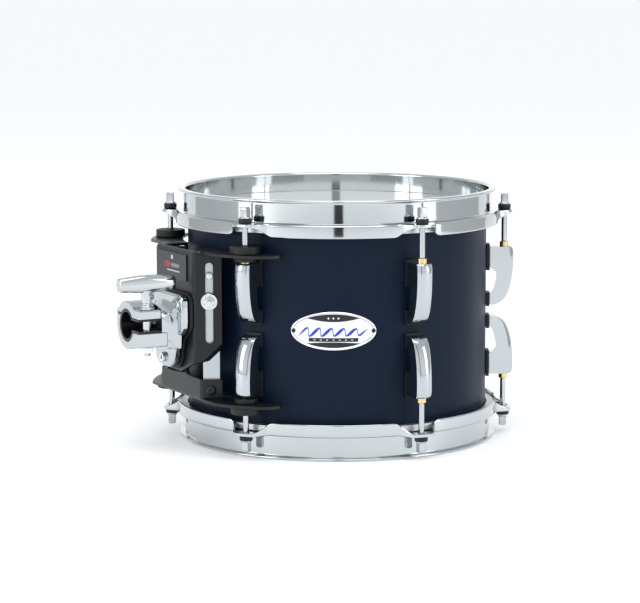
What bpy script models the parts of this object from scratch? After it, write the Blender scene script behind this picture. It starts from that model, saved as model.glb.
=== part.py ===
"""Rack tom, ten inches by seven, with six lugs a side and a tube clamp on a rod-hung bracket.

The origin is the centre of the batter head's playing face, +Z runs up the drum's axis and
-X points out of the tube clamp. Angles are measured round +Z from -Y, so a rod at angle t
stands at (R sin t, -R cos t). The resonant end is the batter end turned over about X.
"""

import math

import bmesh
import bpy
from mathutils import Matrix, Vector

MM = 0.001

# Fits
GAP = 0.3 * MM  # left between two pieces that touch
TURNING_GAP = 0.9 * MM  # round a rod that turns in a sheet-metal hole
LAP = 0.06 * MM  # keeps the faces of two joined shapes out of one plane

# Sides of a full circle, for round pieces of three sizes
DRUM_SIDES = 60
FITTING_SIDES = 18
HOLE_SIDES = 12

# Shell and heads
SHELL_RADIUS = 126.0 * MM
SHELL_WALL = 5.2 * MM
SHELL_DEPTH = 176.6 * MM
EDGE_INSET = 1.8 * MM  # from the outside of the shell to the crest of its bearing edge
FILM = 0.3 * MM
COLLAR_DEPTH = 9.0 * MM
LUG_ANGLES = (0, 60, 120, 180, 240, 300)

# Hoops
HOOP_SHEET = 2.3 * MM
HOOP_RISE = 16.1 * MM  # rim above the playing face
RIM_OVERHANG = 4.2 * MM
RIM_ROUNDING = 0.8 * MM
STEP_DROP = 3.1 * MM  # the step's top below the playing face
SKIRT_DEPTH = 11.0 * MM
FLESH_HOOP_WIDTH = 6.0 * MM
FLESH_HOOP_DEPTH = 5.5 * MM
FLESH_HOOP_CHAMFER = 1.2 * MM
EAR_HALF_WIDTH = 8.4 * MM
EAR_BLEND = 19.0 * MM  # from the rod to where the skirt has its full depth

# Tension rods and lugs
ROD_OFFSET = 15.1 * MM  # from the outside of the shell to the rod's axis
ROD_RADIUS = 2.4 * MM
ROD_HEAD_SIDE = 6.4 * MM
ROD_HEAD_RISE = 9.3 * MM
ROD_HEAD_TAPER = 0.72  # the head's top and its collar, as shares of its side
ROD_COLLAR = 0.9 * MM
WASHER_HEIGHT = 4.0 * MM
EAR_OVERHANG = 6.9 * MM
LUG_TOP = -34.7 * MM
LUG_WIDTH = 13.7 * MM
LUG_DEPTH = 23.3 * MM  # from the shell to the lug's outermost line
LUG_LENGTH = SHELL_DEPTH / 2 - 39.0 * MM  # the two lugs of a pair share the depth
LUG_ROUNDING = 1.6 * MM
LUG_GASKET = 3.0 * MM
LUG_THREAD = 20.0 * MM  # how far the rod reaches into the lug

# Badge and vent
BADGE_ANGLE = -30
BADGE_LENGTH = 69.0 * MM
BADGE_HEIGHT = 31.0 * MM
BADGE_SHEET = 0.9 * MM
BADGE_STRIPS = 14
VENT_ANGLE = 150
VENT_BORE = 9.0 * MM
VENT_FLANGE = 16.0 * MM
VENT_SHEET = 1.2 * MM
VENT_LIP = 1.6 * MM  # how far the barrel stands out inside the shell

# Rod-hung mount
SHEET = 2.4 * MM
BRACKET_REACH = 26.0 * MM  # from the shell to the upper bracket's front face
BRACKET_HALF_WIDTH = 36.0 * MM
BEND = 4.0 * MM
WING_LENGTH = 23.0 * MM
WING_SPLAY = 26.0  # degrees from the X axis
FLANGE_TOP = -27.2 * MM
WING_DROP = SHELL_DEPTH - 101.3 * MM  # from the flange to the wings' lower corner
TONGUE_DROP = 0.5736 * SHELL_DEPTH  # from the flange to the tip of the front face
TONGUE_WIDTH = 28.0 * MM
BAND_HEIGHT = 18.5 * MM
BAND_SETBACK = 5.0 * MM
BAR_WIDTH = 13.6 * MM
BAR_OFFSET = 1.5 * MM  # the bar's middle past the slot's, clear of the band's bend
BAR_SHEET = 2.6 * MM
FLANGE_NOTCH = 23.0 * MM  # half the width of the gap in the upper flange
SLOT_WIDTH = 6.2 * MM
SLOT_TOP = -36.6 * MM
SLOT_LENGTH = SHELL_DEPTH - 110.6 * MM
SLOT_INSET = 12.9 * MM  # along the wing from the bend
SLOT_BOLT_Z = -68.3 * MM
SLOT_STUD_RADIUS = 2.2 * MM
SLOT_WASHER_RADIUS = 6.8 * MM
SLOT_WASHER_SHEET = 1.3 * MM
SLOT_NUT_HALF = 3.7 * MM
SLOT_NUT_HEIGHT = 2.9 * MM
GUIDE_PIN_Z = -47.2 * MM
BAND_SCREW_RISE = 9.6 * MM  # above the lower flange
BAND_SCREW_SHIFT = 1.0 * MM  # along the wing, past the slot
BAND_SCREW_RADIUS = 2.5 * MM
BAND_SCREW_HEAD = 4.1 * MM
BAND_SCREW_SOCKET = 1.5 * MM
GROMMET_RADIUS = 12.3 * MM
GROMMET_CAP = 5.8 * MM
GROMMET_NECK = 7.4 * MM
GROMMET_FOOT_RADIUS = 9.2 * MM
GROMMET_FOOT = 3.6 * MM
ARM_CLEARANCE = 4.5 * MM  # between the arms and the shell
ARM_REACH = 30.5 * MM  # past the rod, round the drum
LABEL_LOW_Y = -25.0 * MM
LABEL_HIGH_Y = 31.0 * MM
LABEL_FOOT = 35.9 * MM  # above the middle of the drum, clear of the clamp's base
LABEL_SHEET = 0.8 * MM

# Tube clamp
PAD = 2.4 * MM
BASE = 6.8 * MM
BASE_ROUNDING = 1.5 * MM
BASE_SCREWS = ((-27.5 * MM, 18.4 * MM), (27.5 * MM, 18.4 * MM), (0.0, -28.6 * MM))
BASE_SCREW_RADIUS = 2.0 * MM
BASE_SCREW_HEAD = 4.0 * MM
BASE_SCREW_SOCKET = 1.6 * MM
PAD_MARGIN = 1.2 * MM  # the pad's edge past the base's, at 30 mm from the middle
CLAMP_LENGTH = 33.2 * MM  # from the base to the clamp's front face
JAW_LENGTH = 19.5 * MM
TUBE_RADIUS = 11.1 * MM
SLEEVE_WALL = 2.2 * MM
SLEEVE_LIP = 1.5 * MM
CLAMP_RADIUS = 20.0 * MM
CLAMP_LUG_REACH = 25.0 * MM
JAW_UNDERSIDE = 7.1 * MM  # above the tube's axis, on the bolt's side
JAW_TOP = 14.4 * MM
LEDGE_TOP = -4.4 * MM
LEDGE_BOTTOM = -16.2 * MM
HINGE_Y = 20.6 * MM
HINGE_Z = 8.4 * MM
HINGE_SLIT = 1.9 * MM
HINGE_EYE = 3.8 * MM
HINGE_PIN = 1.6 * MM
KNUCKLE_INSET = 2.2 * MM
BOLT_Y = -18.0 * MM
BOLT_BACK = 9.8 * MM  # the bolt's axis behind the clamp's front face
BOLT_RADIUS = 3.0 * MM
WASHER_RADIUS = 5.0 * MM
WASHER_SHEET = 1.3 * MM
NUT_HEIGHT = 4.4 * MM
NUT_ACROSS = 10.0 * MM
BOLT_END = 2.5 * MM  # the bolt's tip below its nut
STEM_RADIUS = 4.1 * MM
STEM_TOP = 27.9 * MM
HANDLE_HEIGHT = 15.0 * MM
HANDLE_LENGTH = 49.0 * MM
HANDLE_WIDTH = 12.0 * MM

# Worked out from the above
EDGE_Z = -(FILM + GAP)
MIDDLE_Z = EDGE_Z - SHELL_DEPTH / 2
HOOP_INNER = SHELL_RADIUS + 1.6 * MM
FLESH_INNER = SHELL_RADIUS + FILM + 3 * GAP
FLESH_OUTER = FLESH_INNER + FLESH_HOOP_WIDTH
SKIRT_RADIUS = FLESH_OUTER + 2 * GAP + HOOP_SHEET
ROD_CIRCLE = SHELL_RADIUS + ROD_OFFSET
FRONT_X = -(SHELL_RADIUS + BRACKET_REACH)
BASE_X = FRONT_X - GAP - PAD - GAP
BASE_FACE_X = BASE_X - BASE
CLAMP_X = BASE_FACE_X - CLAMP_LENGTH
JAW_BACK_X = CLAMP_X + JAW_LENGTH
BOLT_X = CLAMP_X + BOLT_BACK
CLAMP_BORE = TUBE_RADIUS + SLEEVE_WALL + GAP
FLANGE_BOTTOM = FLANGE_TOP - SHEET
LOWER_FLANGE = 2 * MIDDLE_Z - FLANGE_TOP
GUIDE_PIN_RADIUS = SLOT_WIDTH / 2 - GAP
BAND_SCREW_Z = LOWER_FLANGE + BAND_SCREW_RISE
WING_RUN = Vector((math.cos(math.radians(WING_SPLAY)), -math.sin(math.radians(WING_SPLAY)), 0))
WING_OUT = Vector((-math.sin(math.radians(WING_SPLAY)), -math.cos(math.radians(WING_SPLAY)), 0))


# --- Tools ---------------------------------------------------------------------------------


def clear_scene():
    for item in list(bpy.data.objects):
        bpy.data.objects.remove(item)


def finish(name, color, metallic, roughness):
    """A Principled material for one family of pieces."""
    material = bpy.data.materials.new(name)
    material.use_nodes = True
    shader = material.node_tree.nodes["Principled BSDF"]
    shader.inputs["Base Color"].default_value = (*color, 1)
    shader.inputs["Metallic"].default_value = metallic
    shader.inputs["Roughness"].default_value = roughness
    return material


def place(name, mesh, material, location=(0, 0, 0), rotation=(0, 0, 0)):
    mesh.materials.clear()
    mesh.materials.append(material)
    piece = bpy.data.objects.new(name, mesh)
    piece.location = location
    piece.rotation_euler = rotation
    bpy.context.scene.collection.objects.link(piece)
    return piece


def mesh_of(name, points, faces):
    mesh = bpy.data.meshes.new(name)
    mesh.from_pydata([tuple(point) for point in points], [], faces)
    shape = bmesh.new()
    shape.from_mesh(mesh)
    bmesh.ops.recalc_face_normals(shape, faces=shape.faces)
    shape.to_mesh(mesh)
    shape.free()
    mesh.shade_smooth()
    mesh.set_sharp_from_angle(angle=math.radians(35))
    return mesh


def loft(name, rings, ring_closed=False):
    """Joins rings of equal length side to side, capped at both ends or closed on itself."""
    size = len(rings[0])
    points = [point for ring in rings for point in ring]
    faces = []
    for i in range(len(rings) if ring_closed else len(rings) - 1):
        here, there = i * size, (i + 1) % len(rings) * size
        for j in range(size):
            k = (j + 1) % size
            faces.append((here + j, here + k, there + k, there + j))
    if not ring_closed:
        faces.append(tuple(range(size)))
        faces.append(tuple(range((len(rings) - 1) * size, len(rings) * size)))
    return mesh_of(name, points, faces)


def polar(radius, degrees, z=0.0):
    angle = math.radians(degrees)
    return Vector((radius * math.sin(angle), -radius * math.cos(angle), z))


def circle(radius, z, sides):
    return [polar(radius, 360 * i / sides, z) for i in range(sides)]


def turned(name, profile, sides):
    """A ring turned round Z from a closed profile of (radius, z)."""
    rings = [[polar(r, 360 * i / sides, z) for r, z in profile] for i in range(sides)]
    return loft(name, rings, ring_closed=True)


def stacked(name, levels, sides):
    """A solid turned round Z from (radius, z) levels, capped at both ends."""
    return loft(name, [circle(radius, z, sides) for radius, z in levels])


def prism(name, outline, low, high):
    """An outline in X and Y carried from one height to another."""
    rings = [[Vector((x, y, z)) for x, y in outline] for z in (low, high)]
    return loft(name, rings)


def prism_along_x(name, outline, start, end):
    """An outline in Y and Z carried along X."""
    rings = [[Vector((x, y, z)) for y, z in outline] for x in (start, end)]
    return loft(name, rings)


def box_outline(low_a, high_a, low_b, high_b):
    return [(low_a, low_b), (high_a, low_b), (high_a, high_b), (low_a, high_b)]


def arc(center_a, center_b, radius, start, end, steps):
    angles = [math.radians(start + (end - start) * i / steps) for i in range(steps + 1)]
    return [(center_a + radius * math.cos(t), center_b + radius * math.sin(t)) for t in angles]


def joined(*meshes):
    """One mesh that holds copies of several, for a cutter."""
    shape = bmesh.new()
    for mesh in meshes:
        shape.from_mesh(mesh)
    result = bpy.data.meshes.new("cutter")
    shape.to_mesh(result)
    shape.free()
    return result


def moved(mesh, matrix):
    result = mesh.copy()
    result.transform(matrix)
    return result


def combine(mesh, steps, name, solver="EXACT"):
    """Adds and cuts other meshes in turn: steps are (operation, mesh)."""
    body = bpy.data.objects.new("work", mesh)
    bpy.context.scene.collection.objects.link(body)
    tools = []
    for operation, other in steps:
        tool = bpy.data.objects.new("tool", other)
        tool.hide_render = True
        tool.display_type = "WIRE"
        bpy.context.scene.collection.objects.link(tool)
        tools.append(tool)
        step = body.modifiers.new(operation, "BOOLEAN")
        step.operation = operation
        step.solver = solver
        step.object = tool
    result = evaluated(body, name)
    for item in [body, *tools]:
        bpy.data.objects.remove(item)
    return result


def evaluated(body, name):
    bpy.context.view_layer.update()
    graph = bpy.context.evaluated_depsgraph_get()
    result = bpy.data.meshes.new_from_object(body.evaluated_get(graph))
    result.name = name
    result.shade_smooth()
    result.set_sharp_from_angle(angle=math.radians(35))
    return result


def softened(mesh, width, segments, name):
    """The mesh with its sharp edges bevelled."""
    body = bpy.data.objects.new("work", mesh)
    bpy.context.scene.collection.objects.link(body)
    bevel = body.modifiers.new("Bevel", "BEVEL")
    bevel.width = width
    bevel.segments = segments
    bevel.limit_method = "ANGLE"
    bevel.angle_limit = math.radians(50)
    result = evaluated(body, name)
    bpy.data.objects.remove(body)
    return result


def both_ends(name, mesh, material):
    """A piece round the drum's axis, at the batter end and turned over at the resonant end."""
    place(f"batter_{name}", mesh, material)
    place(f"resonant_{name}", mesh, material, (0, 0, 2 * MIDDLE_Z), (math.pi, 0, 0))


# --- Shell, heads and hoops ----------------------------------------------------------------


def shell_mesh():
    outside, inside = SHELL_RADIUS, SHELL_RADIUS - SHELL_WALL
    crest = SHELL_RADIUS - EDGE_INSET
    slope = crest - inside
    top, bottom = EDGE_Z, 2 * MIDDLE_Z - EDGE_Z
    profile = [
        (inside, top - slope),
        (crest, top),
        (outside, top - EDGE_INSET),
        (outside, bottom + EDGE_INSET),
        (crest, bottom),
        (inside, bottom + slope),
    ]
    tube = turned("shell", profile, DRUM_SIDES)
    bore, reach = VENT_BORE / 2 + VENT_SHEET + GAP, 3 * SHELL_WALL
    hole = stacked("hole", [(bore, -reach), (bore, reach)], FITTING_SIDES)
    return combine(tube, [("DIFFERENCE", moved(hole, vent_frame()))], "shell")


def vent_frame():
    """Carries the Z axis onto the vent's axis, pointing out of the shell."""
    at = polar(SHELL_RADIUS, VENT_ANGLE, MIDDLE_Z)
    turn = Matrix.Rotation(math.radians(VENT_ANGLE), 4, "Z") @ Matrix.Rotation(math.pi / 2, 4, "X")
    return Matrix.Translation(at) @ turn


def vent_mesh():
    """A rolled eyelet: a flange outside, a barrel through the shell and a lip inside."""
    bore, flange = VENT_BORE / 2, VENT_FLANGE / 2
    barrel = bore + VENT_SHEET
    seat, lip = GAP, -SHELL_WALL - VENT_LIP
    profile = [
        (bore, seat + 1.3 * VENT_SHEET),
        (barrel + VENT_SHEET, seat + 1.6 * VENT_SHEET),
        (flange, seat + 0.7 * VENT_SHEET),
        (flange, seat),
        (barrel, seat),
        (barrel, lip),
        (bore, lip),
    ]
    return turned("air_vent", profile, FITTING_SIDES)


def head_mesh():
    """The film: a flat face, turned down over the bearing edge into a short collar."""
    crest = SHELL_RADIUS - EDGE_INSET
    wall = SHELL_RADIUS + GAP
    levels = [
        (wall, -COLLAR_DEPTH),
        (wall + FILM, -COLLAR_DEPTH),
        (wall + FILM, -EDGE_INSET - GAP),
        (crest + FILM, 0),
        (crest / 2, 0),
    ]
    under = [(crest / 2, -FILM), (crest, -FILM), (wall, -EDGE_INSET - 2 * GAP)]
    rings = [circle(r, z, DRUM_SIDES) for r, z in [*under, *levels]]
    return loft("head", rings)


def flesh_hoop_mesh():
    top = -STEP_DROP - HOOP_SHEET - GAP
    bottom = top - FLESH_HOOP_DEPTH
    profile = [
        (FLESH_INNER, bottom),
        (FLESH_INNER, top),
        (FLESH_OUTER - FLESH_HOOP_CHAMFER, top),
        (FLESH_OUTER, top - FLESH_HOOP_CHAMFER),
        (FLESH_OUTER, bottom),
    ]
    return turned("flesh_hoop", profile, DRUM_SIDES)


def hoop_section(reach, depth):
    """Rim, band, step and skirt as one bent sheet: reach and depth are the skirt's."""
    inner, band = HOOP_INNER, HOOP_INNER + HOOP_SHEET
    rim, soft = HOOP_INNER + HOOP_SHEET + RIM_OVERHANG, RIM_ROUNDING
    top, step = HOOP_RISE, -STEP_DROP
    return [
        (rim - soft, top),
        (inner + soft, top),
        (inner, top - soft),
        (inner, step - HOOP_SHEET),
        (reach - HOOP_SHEET, step - HOOP_SHEET),
        (reach - HOOP_SHEET, step - depth),
        (reach, step - depth),
        (reach, step - soft),
        (reach - soft, step),
        (band, step),
        (band, top - HOOP_SHEET),
        (rim, top - HOOP_SHEET),
    ]


def hoop_mesh():
    """Six sectors: the skirt lifts and runs out into a flat ear at each rod."""
    tip = ROD_CIRCLE + EAR_OVERHANG
    flat = HOOP_SHEET + GAP
    ear_half = math.degrees(EAR_HALF_WIDTH / ROD_CIRCLE)
    blend = math.degrees(EAR_BLEND / ROD_CIRCLE)
    between = (blend + ear_half) / 2
    halfway = 180 / len(LUG_ANGLES)
    stations = [
        (0, tip, flat),
        (ear_half, tip - EAR_OVERHANG / 6, flat),
        (between, SKIRT_RADIUS + EAR_OVERHANG / 2, SKIRT_DEPTH * 0.55),
        (blend, SKIRT_RADIUS, SKIRT_DEPTH * 0.95),
        (blend + (halfway - blend) / 3, SKIRT_RADIUS, SKIRT_DEPTH),
        (blend + (halfway - blend) * 2 / 3, SKIRT_RADIUS, SKIRT_DEPTH),
    ]
    stations = [(-a, reach, depth) for a, reach, depth in reversed(stations[1:])] + stations
    stations.append((halfway, SKIRT_RADIUS, SKIRT_DEPTH))
    rings = []
    for lug in LUG_ANGLES:
        for offset, reach, depth in stations:
            rings.append([polar(r, lug + offset, z) for r, z in hoop_section(reach, depth)])
    ring = loft("hoop", rings, ring_closed=True)
    bore = ROD_RADIUS + TURNING_GAP
    low, high = -STEP_DROP - 3 * HOOP_SHEET, -STEP_DROP + 3 * HOOP_SHEET
    drill = stacked("drill", [(bore, low), (bore, high)], FITTING_SIDES)
    holes = [moved(drill, Matrix.Translation(polar(ROD_CIRCLE, lug))) for lug in LUG_ANGLES]
    return combine(ring, [("DIFFERENCE", joined(*holes))], "hoop")


# --- Tension rods and lugs -----------------------------------------------------------------


def square_ring(side, z, sides=HOLE_SIDES):
    """A square with points at the same angles as a circle of that many sides."""
    ring = []
    for i in range(sides):
        angle = 360 * (i + 0.5) / sides
        reach = max(abs(math.sin(math.radians(angle))), abs(math.cos(math.radians(angle))))
        ring.append(polar(side / 2 / reach, angle, z))
    return ring


def rod_ring(radius, z, sides=HOLE_SIDES):
    return [polar(radius, 360 * (i + 0.5) / sides, z) for i in range(sides)]


def rod_mesh():
    """Threaded tip, shank, collar over the washer and a square head with a rounded top."""
    tip = LUG_TOP - LUG_THREAD
    seat = -STEP_DROP + WASHER_HEIGHT + GAP
    top = seat + ROD_HEAD_RISE
    collar = ROD_HEAD_SIDE * ROD_HEAD_TAPER
    chamfer = ROD_RADIUS * 0.4
    rings = [
        rod_ring(ROD_RADIUS - chamfer, tip),
        rod_ring(ROD_RADIUS, tip + chamfer),
        rod_ring(ROD_RADIUS, seat),
        rod_ring(collar, seat),
        rod_ring(collar, seat + ROD_COLLAR),
        square_ring(ROD_HEAD_SIDE, seat + ROD_COLLAR + 1.3 * MM),
        square_ring(ROD_HEAD_SIDE, top - 1 * MM),
        square_ring(ROD_HEAD_SIDE * ROD_HEAD_TAPER, top),
    ]
    return loft("rod", rings)


def lug_outline():
    """Side view in (outward from the shell, down from the lug's top)."""
    face = LUG_GASKET + GAP
    back = [(0.885, 0), (0.955, -0.02), (1, -0.155), (0.98, -0.384), (0.915, -0.611)]
    back += [(0.8, -0.79), (0.68, -0.905), (0.495, -0.972), (0.27, -1)]
    hollow = [(0.24, -0.777), (0.296, -0.688), (0.356, -0.562), (0.373, -0.473), (0.326, -0.422)]
    points = [(face, 0)]
    points += [(out * LUG_DEPTH, down * LUG_LENGTH) for out, down in back]
    points += [(face, -LUG_LENGTH), (face, -0.815 * LUG_LENGTH)]
    points += [(out * LUG_DEPTH, down * LUG_LENGTH) for out, down in hollow]
    points.append((face, -0.36 * LUG_LENGTH))
    return points


def lug_mesh():
    """A bridge lug on two feet, drilled from its end for the swivel nut and the rod."""
    half, soft = LUG_WIDTH / 2, LUG_ROUNDING
    face, centre = LUG_GASKET + GAP, -LUG_LENGTH / 2
    rings = []
    for x, inset in ((-half, soft), (-half + soft, 0), (half - soft, 0), (half, soft)):
        ring = []
        for out, down in lug_outline():
            depth = face + (out - face) * (1 - inset / LUG_DEPTH)
            height = centre + (down - centre) * (1 - 2 * inset / LUG_LENGTH)
            ring.append(Vector((x, -SHELL_RADIUS - depth, LUG_TOP + height)))
        rings.append(ring)
    block = loft("lug", rings)
    bore, bottom = ROD_RADIUS + 2 * GAP, LUG_TOP - LUG_THREAD - 2 * MM
    drill = stacked("drill", [(bore, bottom), (bore, LUG_TOP + 5 * MM)], HOLE_SIDES)
    drill = moved(drill, Matrix.Translation(polar(ROD_CIRCLE, 0)))
    return combine(block, [("DIFFERENCE", drill)], "lug")


def rods_and_lugs(chrome):
    rod, lug = rod_mesh(), lug_mesh()
    for i, angle in enumerate(LUG_ANGLES, 1):
        turn = math.radians(angle)
        place(f"batter_rod_{i}", rod, chrome, polar(ROD_CIRCLE, angle))
        place(f"batter_lug_{i}", lug, chrome, rotation=(0, 0, turn))
        far = polar(ROD_CIRCLE, angle, 2 * MIDDLE_Z)
        place(f"resonant_rod_{i}", rod, chrome, far, (math.pi, 0, 0))
        place(f"resonant_lug_{i}", lug, chrome, (0, 0, 2 * MIDDLE_Z), (math.pi, 0, turn + math.pi))


# --- Badge ---------------------------------------------------------------------------------


def badge_mesh():
    """An oval plate wrapped round the shell, in strips from end to end."""
    back, front = SHELL_RADIUS + GAP, SHELL_RADIUS + GAP + BADGE_SHEET
    rings = []
    for i in range(BADGE_STRIPS + 1):
        along = math.pi * (0.06 + 0.88 * i / BADGE_STRIPS)
        degrees = BADGE_ANGLE - math.degrees(math.cos(along) * BADGE_LENGTH / 2 / SHELL_RADIUS)
        half = math.sin(along) * BADGE_HEIGHT / 2
        rings.append(
            [
                polar(back, degrees, MIDDLE_Z - half),
                polar(front, degrees, MIDDLE_Z - half),
                polar(front, degrees, MIDDLE_Z + half),
                polar(back, degrees, MIDDLE_Z + half),
            ]
        )
    return loft("badge", rings)


# --- Rod-hung mount ------------------------------------------------------------------------


def inset_outline(outline, distance):
    """A convex outline, listed anticlockwise, moved in by a distance."""
    result = []
    count = len(outline)
    for i in range(count):
        before = Vector(outline[i - 1])
        here = Vector(outline[i])
        after = Vector(outline[(i + 1) % count])
        first = (here - before).normalized()
        second = (after - here).normalized()
        inward = Vector((-first.y - second.y, first.x + second.x)).normalized()
        lean = inward.dot(Vector((-first.y, first.x)))
        result.append(tuple(here + inward * distance / lean))
    return result


def rounded_corner(before, corner, after, radius, steps=4):
    """Points of an arc that replaces a corner between two straight sides."""
    a = (Vector(before) - Vector(corner)).normalized()
    b = (Vector(after) - Vector(corner)).normalized()
    half = a.angle(b) / 2
    start = Vector(corner) + a * radius / math.tan(half)
    end = Vector(corner) + b * radius / math.tan(half)
    centre = Vector(corner) + (a + b).normalized() * radius / math.sin(half)
    sweep = (start - centre).angle_signed(end - centre)
    points = []
    for i in range(steps + 1):
        turn = Matrix.Rotation(-sweep * i / steps, 2)
        points.append(tuple(centre + turn @ (start - centre)))
    return points


def channel_outline(front_x, corner_y):
    """Plan of the channel: wing end, two rounded bends and the other wing end."""
    end = wing_point(WING_LENGTH)
    corners = [(end.x, -end.y), (front_x, corner_y), (front_x, -corner_y), (end.x, end.y)]
    upper = rounded_corner(corners[0], corners[1], corners[2], BEND)
    lower = rounded_corner(corners[1], corners[2], corners[3], BEND)
    return [corners[0], *upper, *lower, corners[3]]


def wing_point(along, out=0.0, z=0.0):
    """A point on the -Y wing's outer face: along it from the bend, and out from it."""
    bend = Vector((FRONT_X, -BRACKET_HALF_WIDTH, z))
    return bend + WING_RUN * along + WING_OUT * out


def tray(name, outline, floor, rim):
    """A bent-up sheet: a floor with rounded edges and walls to the rim, open at the back."""
    toward = 1 if rim > floor else -1
    rings = [[Vector((x, y, rim)) for x, y in outline]]
    steps = 3
    for i in range(steps + 1):
        turn = math.pi / 2 * i / steps
        drop, inset = BEND * (1 - math.sin(turn)), BEND * (1 - math.cos(turn))
        ring = inset_outline(outline, inset)
        rings.append([Vector((x, y, floor + toward * drop)) for x, y in ring])
    outer = loft(name, rings)
    hollow = inset_outline(outline, SHEET)
    back = WING_RUN * 12 * MM
    hollow[0] = (hollow[0][0] + back.x, hollow[0][1] - back.y)
    hollow[-1] = (hollow[-1][0] + back.x, hollow[-1][1] + back.y)
    inner_floor = floor + toward * SHEET
    bend = BEND - SHEET
    levels = [(rim + toward * 5 * MM, 0), (inner_floor + toward * bend, 0), (inner_floor, bend)]
    inner = loft("hollow", [[Vector((x, y, z)) for x, y in inset_outline(hollow, i)] for z, i in levels])
    return combine(outer, [("DIFFERENCE", inner)], name)


def arm_outline(side, front_x):
    """Plan of an arm that reaches past a rod: side is -1 for -Y and 1 for +Y."""
    rod = -90 - 30 * side
    root = wing_point(6.5 * MM, -SHEET / 2)
    outer = [(-0.56, 16.0), (-0.13, 14.6), (0.3, 13.0), (0.66, 10.4), (0.88, 6.5), (1, 0)]
    points = [(front_x + 12 * MM, side * 8 * MM), (front_x + 6 * MM, side * 26 * MM)]
    points.append((root.x, -side * root.y))
    for share, out in outer:
        degrees = rod - side * math.degrees(share * ARM_REACH / ROD_CIRCLE)
        point = polar(ROD_CIRCLE + out * MM, degrees)
        points.append((point.x, point.y))
    inner = SHELL_RADIUS + ARM_CLEARANCE
    last = rod - side * math.degrees(0.95 * ARM_REACH / ROD_CIRCLE)
    centre = -90 - side * 4
    for i in range(9):
        point = polar(inner, last + (centre - last) * i / 8)
        points.append((point.x, point.y))
    return points


def arms(front_x, floor, toward):
    """Both arms, as flat plates that start inside the flange."""
    low, high = sorted((floor, floor + toward * SHEET))
    left, right = (prism("arm", arm_outline(side, front_x), low + LAP, high - LAP) for side in (-1, 1))
    return left, right


def grommet_drill():
    radius = GROMMET_NECK + GAP
    drill = stacked("drill", [(radius, -SHELL_DEPTH), (radius, 0)], FITTING_SIDES)
    holes = [moved(drill, Matrix.Translation(polar(ROD_CIRCLE, -90 + turn))) for turn in (-30, 30)]
    return joined(*holes)


def slot_cutter(side):
    """A long slot with round ends, cut square to the wing."""
    half = SLOT_WIDTH / 2
    top, bottom = SLOT_TOP - half, SLOT_TOP - SLOT_LENGTH + half
    outline = arc(0, top, half, 0, 180, 8) + arc(0, bottom, half, 180, 360, 8)
    rings = []
    for out in (-6 * MM, 6 * MM):
        ring = []
        for along, z in outline:
            point = wing_point(SLOT_INSET + along, out, z)
            ring.append(Vector((point.x, -side * point.y, point.z)))
        rings.append(ring)
    return loft("slot", rings)


def upper_bracket_mesh():
    """Front face, two splayed wings with slots, a top flange and two arms."""
    corner = BRACKET_HALF_WIDTH
    rim = FLANGE_TOP - TONGUE_DROP
    body = tray("upper_bracket", channel_outline(FRONT_X, corner), FLANGE_TOP, rim)
    wing_end = -wing_point(WING_LENGTH).y
    wing_low = FLANGE_TOP - WING_DROP
    knee = wing_point(7.8 * MM)
    right = [
        (wing_end + 5 * MM, 0),
        (wing_end + 5 * MM, wing_low),
        (wing_end, wing_low),
        (-knee.y, wing_low - 14.5 * MM),
        (corner, wing_low - 16.5 * MM),
        (TONGUE_WIDTH / 2 + 2 * MM, rim + 2 * MM),
        (TONGUE_WIDTH / 2 - 3 * MM, rim - 1 * MM),
    ]
    outline = right + [(-y, z) for y, z in reversed(right)]
    trim = prism_along_x("trim", outline, FRONT_X - 10 * MM, FRONT_X + 60 * MM)
    left_arm, right_arm = arms(FRONT_X, FLANGE_TOP, -1)
    gap = box_outline(FRONT_X + SHEET + LAP, FRONT_X + 40 * MM, -FLANGE_NOTCH, FLANGE_NOTCH)
    steps = [
        ("INTERSECT", trim),
        ("UNION", left_arm),
        ("UNION", right_arm),
        ("DIFFERENCE", grommet_drill()),
        ("DIFFERENCE", joined(slot_cutter(-1), slot_cutter(1))),
        ("DIFFERENCE", prism("gap", gap, FLANGE_BOTTOM - BEND, FLANGE_TOP + 5 * MM)),
    ]
    # EXACT leaves nothing of these unions. Every shape here is closed, so MANIFOLD is safe.
    return combine(body, steps, "mount_upper_bracket", "MANIFOLD")


def lower_bracket_mesh():
    """A shallow band set back behind the front face, with its flange and arms below."""
    floor = LOWER_FLANGE
    front = FRONT_X + BAND_SETBACK
    corner = BRACKET_HALF_WIDTH + BAND_SETBACK * math.tan(math.radians(WING_SPLAY))
    body = tray("lower_bracket", channel_outline(front, corner), floor, floor + BAND_HEIGHT)
    left_arm, right_arm = arms(front, floor, 1)
    steps = [
        ("UNION", left_arm),
        ("UNION", right_arm),
        ("DIFFERENCE", grommet_drill()),
        ("DIFFERENCE", band_screw_holes()),
    ]
    # EXACT leaves nothing of this union; every shape in it is closed, so MANIFOLD is safe.
    return combine(body, steps, "mount_lower_bracket", "MANIFOLD")


def wing_frame(along, z, side):
    """Carries Z onto the outward normal of a wing, at a place along it."""
    at = wing_point(along, 0, z)
    turn = Vector((0, 0, 1)).rotation_difference(WING_OUT).to_matrix().to_4x4()
    matrix = Matrix.Translation(at) @ turn
    if side > 0:
        matrix = Matrix.Scale(-1, 4, (0, 1, 0)) @ matrix @ Matrix.Scale(-1, 4, (1, 0, 0))
    return matrix


def band_screw_holes():
    bore = BAND_SCREW_RADIUS + GAP
    drill = stacked("drill", [(bore, -2 * SHEET), (bore, 2 * SHEET)], HOLE_SIDES)
    along = SLOT_INSET + BAND_SCREW_SHIFT
    holes = [moved(drill, wing_frame(along, BAND_SCREW_Z, side)) for side in (-1, 1)]
    return joined(*holes)


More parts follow.
